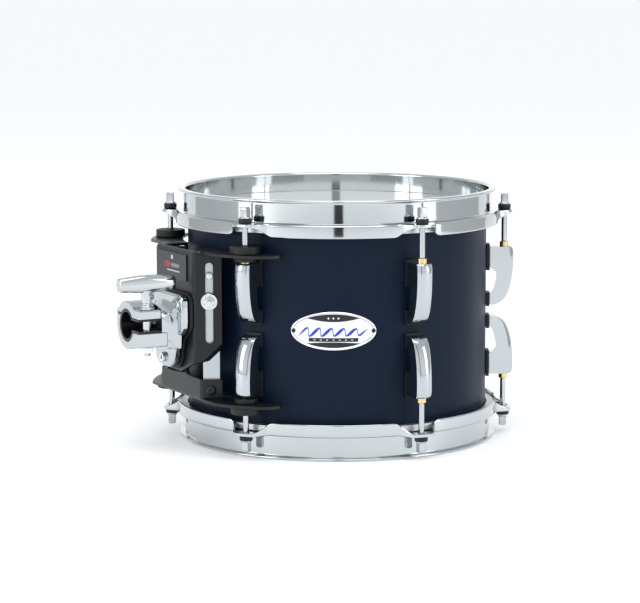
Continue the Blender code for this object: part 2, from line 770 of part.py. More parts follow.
def slide_bar_mesh(side):
    """A flat bar behind the wing and the band, drilled for its bolt, pin and screw."""
    top, bottom = SLOT_TOP, LOWER_FLANGE + BEND + GAP
    near, far = -SHEET - GAP, -SHEET - GAP - BAR_SHEET
    middle = SLOT_INSET + BAR_OFFSET
    rings = []
    for out in (near, far):
        ring = []
        for along, z in box_outline(middle - BAR_WIDTH / 2, middle + BAR_WIDTH / 2, bottom, top):
            point = wing_point(along, out, z)
            ring.append(Vector((point.x, -side * point.y, point.z)))
        rings.append(ring)
    bar = loft("bar", rings)
    holes = []
    for along, z, radius in (
        (SLOT_INSET, SLOT_BOLT_Z, SLOT_STUD_RADIUS),
        (SLOT_INSET, GUIDE_PIN_Z, GUIDE_PIN_RADIUS * 0.6),
        (SLOT_INSET + BAND_SCREW_SHIFT, BAND_SCREW_Z, BAND_SCREW_RADIUS),
    ):
        levels = [(radius + GAP, -3 * SHEET - BAR_SHEET), (radius + GAP, 2 * SHEET)]
        drill = stacked("drill", levels, HOLE_SIDES)
        holes.append(moved(drill, wing_frame(along, z, side)))
    return combine(bar, [("DIFFERENCE", joined(*holes))], "slide_bar")


def slot_bolt_mesh():
    """A flat washer, a nut and the end of the stud that comes through them."""
    stud, washer, nut = SLOT_STUD_RADIUS, SLOT_WASHER_RADIUS, SLOT_NUT_HALF
    seat = GAP + SLOT_WASHER_SHEET
    top = seat + SLOT_NUT_HEIGHT
    levels = [
        (stud, -SHEET - GAP - BAR_SHEET),
        (stud, GAP),
        (washer, GAP),
        (washer, seat),
        (nut, seat),
        (nut, top),
        (stud, top),
        (stud, top + 0.9 * stud),
        (stud * 0.6, top + 1.2 * stud),
    ]
    rings = [circle(radius, z, FITTING_SIDES) for radius, z in levels]
    for i in (4, 5):
        rings[i] = hexagonal_ring(nut, levels[i][1], FITTING_SIDES)
    return loft("slot_bolt", rings)


def hexagonal_ring(apothem, z, sides):
    """A hexagon with points at the same angles as a circle of that many sides."""
    ring = []
    for i in range(sides):
        angle = 360 * i / sides
        ring.append(polar(apothem / math.cos(math.radians((angle + 30) % 60 - 30)), angle, z))
    return ring


def guide_pin_mesh():
    radius = GUIDE_PIN_RADIUS
    levels = [
        (radius * 0.6, -SHEET - GAP - BAR_SHEET),
        (radius * 0.6, -SHEET),
        (radius, -SHEET),
        (radius, 0.4 * MM),
        (radius * 0.75, 1.0 * MM),
    ]
    return stacked("guide_pin", levels, FITTING_SIDES)


def band_screw_mesh():
    """A button-head socket screw."""
    shank, head, socket = BAND_SCREW_RADIUS, BAND_SCREW_HEAD, BAND_SCREW_SOCKET
    levels = [
        (shank, -SHEET - GAP - BAR_SHEET),
        (shank, GAP),
        (head, GAP),
        (head, 1.4 * MM),
        (head * 0.75, 2.4 * MM),
        (socket, 2.4 * MM),
        (socket, 0.9 * MM),
    ]
    return socket_screw("band_screw", levels)


def socket_screw(name, levels):
    """A turned screw whose last two levels are its hexagon socket."""
    rings = [circle(radius, z, FITTING_SIDES) for radius, z in levels[:-2]]
    rings += [hexagonal_ring(radius, z, FITTING_SIDES) for radius, z in levels[-2:]]
    return loft(name, rings)


def grommet_mesh():
    """A rubber spool that grips the arm and slides over the rod."""
    bore = ROD_RADIUS + 2 * GAP
    cap_low, cap_high = FLANGE_TOP + GAP, FLANGE_TOP + GAP + GROMMET_CAP
    foot_high = FLANGE_BOTTOM - GAP
    foot_low = foot_high - GROMMET_FOOT
    soft = 1.0 * MM
    profile = [
        (bore, foot_low),
        (bore, cap_high),
        (GROMMET_RADIUS - soft, cap_high),
        (GROMMET_RADIUS, cap_high - soft),
        (GROMMET_RADIUS, cap_low),
        (GROMMET_NECK, cap_low),
        (GROMMET_NECK, foot_high),
        (GROMMET_FOOT_RADIUS, foot_high),
        (GROMMET_FOOT_RADIUS, foot_low),
    ]
    return turned("grommet", profile, FITTING_SIDES)


def mount_hardware(black, chrome, rubber):
    place("mount_upper_bracket", upper_bracket_mesh(), black)
    place("mount_lower_bracket", lower_bracket_mesh(), black)
    grommet = grommet_mesh()
    bolt, pin, screw = slot_bolt_mesh(), guide_pin_mesh(), band_screw_mesh()
    for i, side in enumerate((-1, 1), 1):
        place(f"slide_bar_{i}", slide_bar_mesh(side), chrome)
        for name, mesh, along, z, material in (
            ("slot_bolt", bolt, SLOT_INSET, SLOT_BOLT_Z, chrome),
            ("guide_pin", pin, SLOT_INSET, GUIDE_PIN_Z, chrome),
            ("band_screw", screw, SLOT_INSET + BAND_SCREW_SHIFT, BAND_SCREW_Z, black),
        ):
            frame = wing_frame(along, z, side)
            place(f"{name}_{i}", mesh, material, frame.translation, frame.to_euler())
        rod = polar(ROD_CIRCLE, -90 - 30 * side)
        place(f"upper_grommet_{i}", grommet, rubber, rod)
        far = rod + Vector((0, 0, 2 * MIDDLE_Z))
        place(f"lower_grommet_{i}", grommet, rubber, far, (math.pi, 0, 0))


# --- Tube clamp ----------------------------------------------------------------------------


def shield_outline(grow=0.0):
    """The base's outline in Y and Z: square above, drawn in to a round lobe below."""
    right = [
        (29.0, 25.4),
        (34.6, 21.5),
        (34.6, -2.5),
        (23.5, -10.5),
        (18.8, -24.0),
        (15.4, -31.6),
        (9.0, -36.2),
    ]
    outline = [(-y, z) for y, z in right] + [(y, z) for y, z in reversed(right)]
    outline = [(y * MM, z * MM) for y, z in outline]
    grown = [(y * (1 + grow / (30 * MM)), z * (1 + grow / (30 * MM))) for y, z in outline]
    return [(y, MIDDLE_Z + z) for y, z in grown]


def jaw_section():
    """The upper half of the clamp ring with its boss for the wing bolt."""
    back = HINGE_Z + HINGE_SLIT / 2
    ring = arc(0, 0, CLAMP_RADIUS, math.degrees(math.asin(back / CLAMP_RADIUS)), 128, 10)
    lug = -CLAMP_LUG_REACH
    boss = [(-13.2 * MM, JAW_TOP), (lug + 1 * MM, JAW_TOP), (lug, JAW_TOP - 1 * MM), (lug, JAW_UNDERSIDE)]
    inner = [(-8 * MM, JAW_UNDERSIDE), (0, JAW_UNDERSIDE), (8 * MM, back)]
    return [(y, MIDDLE_Z + z) for y, z in ring + boss + inner]


def lower_section():
    """The fixed half: a ring below the slit, with the ledge that takes the nut."""
    back = HINGE_Z - HINGE_SLIT / 2
    lug = -CLAMP_LUG_REACH
    ledge = [(lug, LEDGE_TOP), (lug, LEDGE_BOTTOM + 1 * MM), (lug + 1 * MM, LEDGE_BOTTOM)]
    ring = arc(0, 0, CLAMP_RADIUS, 234, 360 + math.degrees(math.asin(back / CLAMP_RADIUS)), 12)
    inner = [(8 * MM, back), (0, 0), (-8 * MM, LEDGE_TOP)]
    return [(y, MIDDLE_Z + z) for y, z in ledge + ring + inner]


def neck_mesh():
    """Runs from behind the jaw to the base, flaring towards it."""
    rings = []
    start, end = JAW_BACK_X + 1.2 * MM, BASE_FACE_X + 3 * MM
    for share, grow in ((0, 1.0), (0.35, 1.0), (0.7, 1.05), (1, 1.22)):
        x = start + (end - start) * share
        reach = CLAMP_LUG_REACH - 1.5 * MM
        outline = [
            (-reach, -13.0 * MM),
            (-reach + 4 * MM, -17.5 * MM),
            (0, -CLAMP_RADIUS),
            (14.1 * MM, -14.1 * MM),
            (CLAMP_RADIUS, 0),
            (14.1 * MM, 14.1 * MM),
            (0, CLAMP_RADIUS - 1 * MM),
            (-reach + 5 * MM, 15.5 * MM),
            (-reach, 11.0 * MM),
        ]
        rings.append([Vector((x, y * grow, MIDDLE_Z + z * grow)) for y, z in outline])
    return loft("neck", rings)


def cylinder_along_x(radius, y, z, start, end, sides):
    outline = [(y + a, MIDDLE_Z + z + b) for a, b in arc(0, 0, radius, 0, 360 - 360 / sides, sides - 1)]
    return prism_along_x("round", outline, start, end)


def eye(start, end, grow=0.0):
    return cylinder_along_x(HINGE_EYE + grow, HINGE_Y, HINGE_Z, start, end, FITTING_SIDES)


def pin_drill(start, end):
    return cylinder_along_x(HINGE_PIN + GAP, HINGE_Y, HINGE_Z, start, end, HOLE_SIDES)


def knuckles():
    """Where the three knuckles lie along X: fixed, jaw, fixed."""
    first = CLAMP_X + KNUCKLE_INSET
    width = (JAW_LENGTH - 2 * KNUCKLE_INSET) / 3
    return [(first + width * i + GAP / 2, first + width * (i + 1) - GAP / 2) for i in range(3)]


def bolt_drill(radius, low, high):
    drill = stacked("drill", [(radius, MIDDLE_Z + low), (radius, MIDDLE_Z + high)], FITTING_SIDES)
    return moved(drill, Matrix.Translation((BOLT_X, BOLT_Y, 0)))


def casting_mesh():
    """Base, neck, the fixed half of the ring and two hinge knuckles, as one casting."""
    base = prism_along_x("base", shield_outline(), BASE_X, BASE_FACE_X)
    base = softened(base, BASE_ROUNDING, 2, "base")
    half = prism_along_x("half", lower_section(), CLAMP_X, JAW_BACK_X + 6 * MM)
    front, middle, rear = knuckles()
    bore = cylinder_along_x(CLAMP_BORE, 0, 0, CLAMP_X - 5 * MM, JAW_BACK_X + 7 * MM, 32)
    pin_hole = pin_drill(front[0] - 3 * MM, rear[1] + 2 * GAP)
    screws = [screw_drill(y, z) for y, z in BASE_SCREWS]
    steps = [
        ("UNION", neck_mesh()),
        ("UNION", half),
        ("UNION", eye(*front)),
        ("UNION", eye(*rear)),
        ("DIFFERENCE", eye(middle[0] - GAP, middle[1] + GAP, 2 * GAP)),
        ("DIFFERENCE", bore),
        ("DIFFERENCE", pin_hole),
        ("DIFFERENCE", bolt_drill(BOLT_RADIUS + 2 * GAP, LEDGE_BOTTOM - 5 * MM, LEDGE_TOP + 5 * MM)),
        ("DIFFERENCE", joined(*screws)),
    ]
    return combine(base, steps, "clamp_casting")


def jaw_mesh():
    front, middle, rear = knuckles()
    half = prism_along_x("jaw", jaw_section(), CLAMP_X, JAW_BACK_X)
    bore = cylinder_along_x(CLAMP_BORE, 0, 0, CLAMP_X - 5 * MM, JAW_BACK_X + 5 * MM, 32)
    pin_hole = pin_drill(CLAMP_X - 3 * MM, JAW_BACK_X + 3 * MM)
    clear = 2 * GAP
    steps = [
        ("UNION", eye(*middle)),
        ("DIFFERENCE", eye(front[0] - 2 * MM, front[1] + GAP, clear)),
        ("DIFFERENCE", eye(rear[0] - GAP, rear[1] + 4 * MM, clear)),
        ("DIFFERENCE", bore),
        ("DIFFERENCE", pin_hole),
        ("DIFFERENCE", bolt_drill(BOLT_RADIUS + TURNING_GAP, JAW_UNDERSIDE - 5 * MM, JAW_TOP + 5 * MM)),
    ]
    mesh = combine(half, steps, "clamp_jaw")
    mesh.transform(Matrix.Translation((0, -HINGE_Y, -MIDDLE_Z - HINGE_Z)))
    return mesh


def sleeve_mesh():
    """A split plastic lining with two lips that line the clamp's mouth."""
    lip = SLEEVE_LIP
    outer, inner = CLAMP_BORE - GAP, TUBE_RADIUS
    top, bottom = JAW_UNDERSIDE - GAP, LEDGE_TOP + GAP
    reach = -CLAMP_LUG_REACH + 1 * MM
    ring = arc(0, 0, outer, 180 - math.degrees(math.asin(top / outer)), 0, 12)[:-1]
    ring += arc(0, 0, outer, 0, -180 + math.degrees(math.asin(-bottom / outer)), 12)
    lower_lip = [(reach, bottom), (reach, bottom + lip)]
    hole = arc(0, 0, inner, -180 + math.degrees(math.asin(-(bottom + lip) / inner)), 0, 12)[:-1]
    hole += arc(0, 0, inner, 0, 180 - math.degrees(math.asin((top - lip) / inner)), 12)
    upper_lip = [(reach, top - lip), (reach, top)]
    outline = [(y, MIDDLE_Z + z) for y, z in ring + lower_lip + hole + upper_lip]
    sleeve = prism_along_x("sleeve", outline, CLAMP_X, JAW_BACK_X + 0.5 * MM)
    drill = bolt_drill(BOLT_RADIUS + TURNING_GAP, LEDGE_TOP - 5 * MM, JAW_UNDERSIDE + 5 * MM)
    return combine(sleeve, [("DIFFERENCE", drill)], "clamp_sleeve")


def screw_frame(y, z):
    """Carries Z onto -X, at a base screw."""
    at = Vector((BASE_FACE_X, y, MIDDLE_Z + z))
    return Matrix.Translation(at) @ Matrix.Rotation(-math.pi / 2, 4, "Y")


def screw_drill(y, z):
    bore = BASE_SCREW_RADIUS + GAP
    drill = stacked("drill", [(bore, -2 * (BASE + PAD)), (bore, BASE / 2)], HOLE_SIDES)
    return moved(drill, screw_frame(y, z))


def base_screw_mesh():
    """A cap screw with a hexagon socket, long enough for the base and the pad."""
    shank, head, socket = BASE_SCREW_RADIUS, BASE_SCREW_HEAD, BASE_SCREW_SOCKET
    levels = [
        (shank, -BASE - PAD - GAP),
        (shank, GAP),
        (head, GAP),
        (head, 2.0 * MM),
        (head - 0.5 * MM, 2.6 * MM),
        (socket, 2.6 * MM),
        (socket, 1.0 * MM),
    ]
    return socket_screw("base_screw", levels)


def pad_mesh():
    outline = shield_outline(PAD_MARGIN)
    pad = prism_along_x("pad", outline, FRONT_X - GAP, FRONT_X - GAP - PAD)
    screws = [screw_drill(y, z) for y, z in BASE_SCREWS]
    return combine(pad, [("DIFFERENCE", joined(*screws))], "clamp_base_pad")


def wing_bolt_mesh():
    """A tapered T-handle, its stem and a threaded shank down through the clamp."""
    seat = JAW_TOP + GAP + WASHER_SHEET + GAP
    tip = LEDGE_BOTTOM - GAP - NUT_HEIGHT - BOLT_END
    sides = 16
    shank = stacked(
        "shank",
        [
            (BOLT_RADIUS * 0.75, tip),
            (BOLT_RADIUS, tip + 1 * MM),
            (BOLT_RADIUS, seat),
            (STEM_RADIUS * 0.8, seat),
            (STEM_RADIUS, seat + 2 * MM),
            (STEM_RADIUS, STEM_TOP + 2 * MM),
        ],
        sides,
    )
    middle = STEM_TOP + HANDLE_HEIGHT / 2
    half = HANDLE_LENGTH / 2
    rings = []
    for along, height, width in (
        (-1.0, 0.50, 0.55),
        (-0.95, 0.70, 0.80),
        (-0.80, 0.80, 0.92),
        (-0.25, 0.98, 1.0),
        (0.25, 0.98, 1.0),
        (0.80, 0.80, 0.92),
        (0.95, 0.70, 0.80),
        (1.0, 0.50, 0.55),
    ):
        ring = []
        for i in range(sides):
            turn = 2 * math.pi * i / sides
            y = math.copysign(abs(math.cos(turn)) ** 0.8, math.cos(turn)) * HANDLE_WIDTH / 2 * width
            z = math.copysign(abs(math.sin(turn)) ** 0.8, math.sin(turn)) * HANDLE_HEIGHT / 2 * height
            ring.append(Vector((along * half, y, middle + z)))
        rings.append(ring)
    return combine(shank, [("UNION", loft("bar", rings))], "wing_bolt")


def washer_mesh():
    low = JAW_TOP + GAP
    high = low + WASHER_SHEET
    inner, outer = BOLT_RADIUS + GAP, WASHER_RADIUS
    profile = [(inner, low), (outer, low), (outer, high), (inner, high)]
    return turned("washer", profile, FITTING_SIDES)


def nut_mesh():
    """A hexagon nut under the ledge."""
    high = LEDGE_BOTTOM - GAP
    low = high - NUT_HEIGHT
    sides = 24
    outer = [hexagonal_ring(NUT_ACROSS / 2, z, sides) for z in (low, high)]
    inner = [circle(BOLT_RADIUS + GAP, z, sides) for z in (high, low)]
    rings = list(zip(*outer, *inner))
    return loft("nut", [list(ring) for ring in rings], ring_closed=True)


def label_mesh():
    top = FLANGE_TOP - BEND - GAP
    outline = box_outline(LABEL_LOW_Y, LABEL_HIGH_Y, MIDDLE_Z + LABEL_FOOT, top)
    return prism_along_x("label", outline, FRONT_X - GAP, FRONT_X - GAP - LABEL_SHEET)


def tube_clamp(black, chrome, rubber, plastic):
    at_bolt = (BOLT_X, BOLT_Y, MIDDLE_Z)
    at_hinge = (0, HINGE_Y, MIDDLE_Z + HINGE_Z)
    place("clamp_base_pad", pad_mesh(), rubber)
    place("clamp_casting", casting_mesh(), chrome)
    place("clamp_jaw", jaw_mesh(), chrome, at_hinge)
    front, _, rear = knuckles()
    pin = cylinder_along_x(
        HINGE_PIN, HINGE_Y, HINGE_Z, front[0] - 1.5 * MM, rear[1], HOLE_SIDES
    )
    place("clamp_hinge_pin", pin, chrome)
    place("clamp_sleeve", sleeve_mesh(), plastic)
    place("wing_bolt", wing_bolt_mesh(), chrome, at_bolt)
    place("wing_bolt_washer", washer_mesh(), chrome, at_bolt)
    place("clamp_nut", nut_mesh(), chrome, at_bolt)
    screw = base_screw_mesh()
    for i, (y, z) in enumerate(BASE_SCREWS, 1):
        frame = screw_frame(y, z)
        place(f"base_screw_{i}", screw, chrome, frame.translation, frame.to_euler())
    place("label_plate", label_mesh(), black)


# --- The drum ------------------------------------------------------------------------------


def main():
    clear_scene()
    lacquer = finish("navy_lacquer", (0.012, 0.020, 0.036), 0.0, 0.35)
    chrome = finish("chrome", (0.80, 0.82, 0.83), 1.0, 0.08)
    film = finish("clear_film", (0.80, 0.82, 0.72), 0.0, 0.12)
    aluminium = finish("flesh_hoop_aluminium", (0.62, 0.63, 0.64), 1.0, 0.4)
    silver = finish("badge_silver", (0.70, 0.71, 0.72), 1.0, 0.25)
    black = finish("black_steel", (0.012, 0.014, 0.017), 0.0, 0.42)
    rubber = finish("black_rubber", (0.015, 0.015, 0.015), 0.0, 0.8)
    plastic = finish("black_plastic", (0.010, 0.010, 0.012), 0.0, 0.4)

    place("shell", shell_mesh(), lacquer)
    both_ends("head", head_mesh(), film)
    both_ends("flesh_hoop", flesh_hoop_mesh(), aluminium)
    both_ends("hoop", hoop_mesh(), chrome)
    rods_and_lugs(chrome)
    place("badge", badge_mesh(), silver)
    vent = vent_frame()
    place("air_vent", vent_mesh(), chrome, vent.translation, vent.to_euler())
    mount_hardware(black, chrome, rubber)
    tube_clamp(black, chrome, rubber, plastic)


main()
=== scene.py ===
# %% [markdown]
# # A rack tom, looks first
#
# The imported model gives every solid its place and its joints. This lesson dresses it: the drum's
# shell, hoops, heads, rods and lugs are made again with finer surfaces in the same places, and
# every piece gets a material made from nodes. Lengths are in metres and +Z runs up the drum.

# %% Load the frame
import math

import bmesh
import bpy
from mathutils import Matrix, Vector

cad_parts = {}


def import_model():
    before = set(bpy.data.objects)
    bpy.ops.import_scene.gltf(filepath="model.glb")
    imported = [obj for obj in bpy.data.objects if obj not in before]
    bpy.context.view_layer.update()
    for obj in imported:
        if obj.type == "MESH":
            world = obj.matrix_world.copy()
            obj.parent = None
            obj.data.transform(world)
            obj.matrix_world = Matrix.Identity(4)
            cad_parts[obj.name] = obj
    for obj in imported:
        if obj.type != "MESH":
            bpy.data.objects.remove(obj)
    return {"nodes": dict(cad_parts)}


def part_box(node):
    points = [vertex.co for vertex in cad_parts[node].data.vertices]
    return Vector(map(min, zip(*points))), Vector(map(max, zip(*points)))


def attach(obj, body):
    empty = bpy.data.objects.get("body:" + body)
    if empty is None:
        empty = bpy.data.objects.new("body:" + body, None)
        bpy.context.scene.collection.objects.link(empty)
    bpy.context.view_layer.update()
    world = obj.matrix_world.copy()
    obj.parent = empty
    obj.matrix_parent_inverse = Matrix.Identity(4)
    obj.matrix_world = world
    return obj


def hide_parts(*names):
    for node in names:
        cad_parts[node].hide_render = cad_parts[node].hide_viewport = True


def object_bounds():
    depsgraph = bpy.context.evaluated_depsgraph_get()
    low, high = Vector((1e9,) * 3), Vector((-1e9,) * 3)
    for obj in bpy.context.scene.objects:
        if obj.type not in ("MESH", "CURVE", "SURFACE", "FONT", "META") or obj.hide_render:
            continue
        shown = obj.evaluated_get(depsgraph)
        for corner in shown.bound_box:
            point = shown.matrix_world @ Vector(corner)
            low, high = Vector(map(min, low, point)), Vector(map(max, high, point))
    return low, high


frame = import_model()
cad_low, cad_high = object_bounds()

# %% [markdown]
# ## Sizes
#
# A drum is round, so most of its places come from two numbers: a radius and a height. The shell,
# the hoops and the rods are measured on the frame's own boxes, and only what the boxes can't tell,
# such as a sheet's thickness, is written here. That keeps the looks and the solids together.

# %% Measure the frame
MM = 0.001
shell_low, shell_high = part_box("shell")
SHELL_R = shell_high.x
EDGE_Z = shell_high.z
MIDDLE_Z = (shell_low.z + shell_high.z) / 2
rod_low, rod_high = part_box("batter_rod_1")
ROD_CIRCLE = -(rod_low.y + rod_high.y) / 2
hoop_low, hoop_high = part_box("batter_hoop")
RIM_TOP = hoop_high.z
EAR_TIP = -hoop_low.y
print(f"shell radius {SHELL_R / MM:.1f} mm, rods on a circle of {ROD_CIRCLE / MM:.1f} mm")

# %% [markdown]
# ## Mesh tools
#
# Round pieces are lofts: rings of points joined side to side. A loft capped at both ends makes a
# rod, and one closed on itself makes a hoop. The Screw modifier could turn the plain ones, but the
# hoop's skirt changes its shape on the way round, so one tool that takes any rings serves them all.

# %% Tools for lofts
SHARP = math.radians(32)


def shaded(mesh, angle=SHARP):
    mesh.shade_smooth()
    mesh.set_sharp_from_angle(angle=angle)
    return mesh


def mesh_of(points, faces):
    mesh = bpy.data.meshes.new("piece")
    mesh.from_pydata([tuple(point) for point in points], [], faces)
    shape = bmesh.new()
    shape.from_mesh(mesh)
    bmesh.ops.recalc_face_normals(shape, faces=shape.faces)
    shape.to_mesh(mesh)
    shape.free()
    return shaded(mesh)


def loft(rings, closed=False):
    size = len(rings[0])
    points = [point for ring in rings for point in ring]
    faces = []
    for i in range(len(rings) if closed else len(rings) - 1):
        here, there = i * size, (i + 1) % len(rings) * size
        for j in range(size):
            k = (j + 1) % size
            faces.append((here + j, here + k, there + k, there + j))
    if not closed:
        faces.append(tuple(range(size)))
        faces.append(tuple(range((len(rings) - 1) * size, len(rings) * size)))
    return mesh_of(points, faces)


def polar(radius, degrees, z=0.0):
    angle = math.radians(degrees)
    return Vector((radius * math.sin(angle), -radius * math.cos(angle), z))


def turned(profile, sides):
    return loft([[polar(r, 360 * i / sides, z) for r, z in profile] for i in range(sides)], True)


def stacked(levels, sides):
    return loft([[polar(r, 360 * i / sides, z) for i in range(sides)] for r, z in levels])


def arc(a, b, radius, start, end, steps=5):
    angles = [math.radians(start + (end - start) * i / steps) for i in range(steps + 1)]
    return [(a + radius * math.cos(t), b + radius * math.sin(t)) for t in angles]


def smooth(t):
    t = min(max(t, 0.0), 1.0)
    return t * t * (3 - 2 * t)


# %% [markdown]
# ## Placing pieces
#
# Each new piece says which body it moves with and which CAD nodes it takes the place of, and
# those nodes are hidden. A resonant piece is the batter piece turned over about X.

# %% Place, flip and cut
END_FLIP = Matrix.Translation((0, 0, 2 * MIDDLE_Z)) @ Matrix.Rotation(math.pi, 4, "X")


def place(name, mesh, material, body, slot, at=None, instead=()):
    piece = bpy.data.objects.new(name, mesh)
    bpy.context.scene.collection.objects.link(piece)
    if not mesh.materials:
        mesh.materials.append(material)
    if at is not None:
        piece.matrix_world = at
    flats = piece.modifiers.new("flats_stay_flat", "WEIGHTED_NORMAL")
    flats.keep_sharp = True
    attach(piece, body)
    if instead:
        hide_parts(*instead)
    return piece


def moved(mesh, matrix):
    result = mesh.copy()
    result.transform(matrix)
    return result


def joined(*meshes):
    shape = bmesh.new()
    for mesh in meshes:
        shape.from_mesh(mesh)
    result = bpy.data.meshes.new("piece")
    shape.to_mesh(result)
    shape.free()
    return shaded(result)


def with_modifiers(mesh, setup):
    """The mesh as it comes out of the modifiers that setup adds to its object."""
    work = bpy.data.objects.new("work", mesh)
    bpy.context.scene.collection.objects.link(work)
    helpers = setup(work) or []
    bpy.context.view_layer.update()
    graph = bpy.context.evaluated_depsgraph_get()
    result = bpy.data.meshes.new_from_object(work.evaluated_get(graph))
    for item in [work, *helpers]:
        bpy.data.objects.remove(item)
    return shaded(result)


def combined(mesh, steps, solver="EXACT"):
    def setup(work):
        helpers = []
        for operation, other in steps:
            tool = bpy.data.objects.new("tool", other)
            bpy.context.scene.collection.objects.link(tool)
            helpers.append(tool)
            step = work.modifiers.new(operation, "BOOLEAN")
            step.operation = operation
            step.solver = solver
            step.object = tool
        return helpers

    return with_modifiers(mesh, setup)


def bevelled(mesh, width, segments=3, angle=40):
    def setup(work):
        step = work.modifiers.new("Bevel", "BEVEL")
        step.width = width
        step.segments = segments
        step.limit_method = "ANGLE"
        step.angle_limit = math.radians(angle)

    return with_modifiers(mesh, setup)


# %% [markdown]
# ## Shader maths
#
# A material is a small program of nodes. Wrapping a socket in a class lets the program be written
# as sums and products, and each operator adds the Math node that does it. Values only pass through
# Math nodes; colours go through Mix, which keeps all three channels.

# %% The socket wrapper
class Value:
    """One output of a node tree, with arithmetic."""

    def __init__(self, tree, socket):
        self.tree = tree
        self.socket = socket

    def node(self, kind, settings=None, sockets=None, output=0):
        return add_node(self.tree, kind, settings, sockets, output)

    def math(self, operation, *others):
        inputs = dict(enumerate((self, *others)))
        return self.node("ShaderNodeMath", {"operation": operation}, inputs)

    def __add__(self, other):
        return self.math("ADD", other)

    def __mul__(self, other):
        return self.math("MULTIPLY", other)

    def ramp(self, low, high):
        """0 below low, 1 above high and smooth between."""
        settings = {"interpolation_type": "SMOOTHSTEP"}
        return self.node("ShaderNodeMapRange", settings, {0: self, 1: low, 2: high})

    def mixed(self, first, second):
        """first where this is 0 and second where it is 1, both colours."""
        settings = {"data_type": "RGBA"}
        return self.node("ShaderNodeMix", settings, {0: self, 6: first, 7: second}, 2)


def add_node(tree, kind, settings=None, sockets=None, output=0):
    node = tree.nodes.new(kind)
    for name, value in (settings or {}).items():
        setattr(node, name, value)
    for key, value in (sockets or {}).items():
        if isinstance(value, Value):
            tree.links.new(value.socket, node.inputs[key])
        else:
            wanted = node.inputs[key].default_value
            if hasattr(wanted, "__len__") and len(wanted) == 4 and len(value) == 3:
                value = (*value, 1.0)
            node.inputs[key].default_value = value
    return Value(tree, node.outputs[output])


class Finish:
    """A material with its Principled shader, and the textures that drive it."""

    def __init__(self, name, color, metallic=0.0, roughness=0.4, **constants):
        self.material = bpy.data.materials.new(name)
        self.material.use_nodes = True
        self.tree = self.material.node_tree
        self.shader = self.tree.nodes["Principled BSDF"]
        self.set("Base Color", color)
        self.set("Metallic", metallic)
        self.set("Roughness", roughness)
        for socket, value in constants.items():
            self.set(socket.replace("_", " ").title().replace("Ior", "IOR"), value)
        self.place = add_node(self.tree, "ShaderNodeTexCoord", output=3)

    def set(self, socket, value):
        target = self.shader.inputs[socket]
        if isinstance(value, Value):
            self.tree.links.new(value.socket, target)
        elif hasattr(target.default_value, "__len__") and len(value) == 3:
            target.default_value = (*value, 1.0)
        else:
            target.default_value = value

    def noise(self, scale, detail=2.0, stretch=(1, 1, 1)):
        mapping = add_node(
            self.tree, "ShaderNodeMapping", None, {"Vector": self.place, "Scale": stretch}
        )
        sockets = {"Vector": mapping, "Scale": scale, "Detail": detail}
        return add_node(self.tree, "ShaderNodeTexNoise", None, sockets)

    def bump(self, height, depth, strength=1.0):
        sockets = {"Height": height, "Distance": depth, "Strength": strength}
        self.set("Normal", add_node(self.tree, "ShaderNodeBump", None, sockets))


# %% [markdown]
# ## Finishes
#
# Chrome is all reflection, so its life comes from what it mirrors and from a faint smear in its
# roughness. The lacquer is a dark navy under a satin coat, deeper where it pools, with the maple's
# grain just felt through it. Powder coat and rubber are told apart by the size of their bumps.

# %% Metals
def plated(name, color, roughness, smear=0.05, ripple=0.0):
    finish = Finish(name, color, 1.0, roughness)
    cloud = finish.noise(55.0, 3.0)
    finish.set("Roughness", cloud * smear + (roughness - smear / 2))
    if ripple:
        finish.bump(finish.noise(18.0, 1.0), ripple)
    return finish.material


def brushed(name, color, roughness, stretch):
    finish = Finish(name, color, 1.0, roughness)
    lines = finish.noise(900.0, 2.0, stretch)
    finish.set("Roughness", lines * 0.18 + (roughness - 0.09))
    finish.bump(lines, 0.00002)
    return finish.material


CHROME = plated("hoop_chrome", (0.53, 0.56, 0.575), 0.07)
CAST_CHROME = plated("cast_chrome", (0.48, 0.515, 0.53), 0.09, 0.06, 0.00004)
ROD_STEEL = plated("rod_chrome", (0.50, 0.53, 0.55), 0.14, 0.08)
BRASS = plated("swivel_nut_brass", (0.74, 0.58, 0.29), 0.26, 0.1)
ZINC = brushed("zinc_plate", (0.49, 0.55, 0.57), 0.36, (1, 1, 0.02))
BRIGHT = plated("turned_steel", (0.68, 0.71, 0.73), 0.24, 0.1)
ALUMINIUM = brushed("flesh_hoop_aluminium", (0.60, 0.61, 0.62), 0.4, (0.1, 0.1, 1))
BADGE_RIM = plated("badge_rim_silver", (0.86, 0.88, 0.90), 0.18, 0.06)


# %% Lacquer, wood and film
def lacquer():
    gloss = {"coat_roughness": 0.25, "specular_ior_level": 0.10}
    finish = Finish("navy_lacquer", (0.004, 0.010, 0.026), 0.0, 0.4, **gloss)
    depth = finish.noise(7.0, 2.0)
    grain = finish.noise(60.0, 5.0, (1, 1, 0.06))
    color = depth.mixed((0.0026, 0.0080, 0.021), (0.0042, 0.0112, 0.028))
    finish.set("Base Color", color)
    finish.set("Roughness", grain * 0.10 + 0.36)
    finish.set("Coat Weight", depth * 0.02 + 0.015)
    finish.bump(grain, 0.00003)
    return finish.material


def maple():
    finish = Finish("maple_ply", (0.62, 0.44, 0.26), 0.0, 0.45)
    grain = finish.noise(42.0, 6.0, (1, 1, 0.08))
    ply = finish.noise(7.0, 2.0, (1, 1, 0.5))
    figure = (grain * 0.7 + ply * 0.3).ramp(0.35, 0.65)
    finish.set("Base Color", figure.mixed((0.80, 0.66, 0.46), (0.66, 0.50, 0.31)))
    finish.bump(grain, 0.00004)
    return finish.material


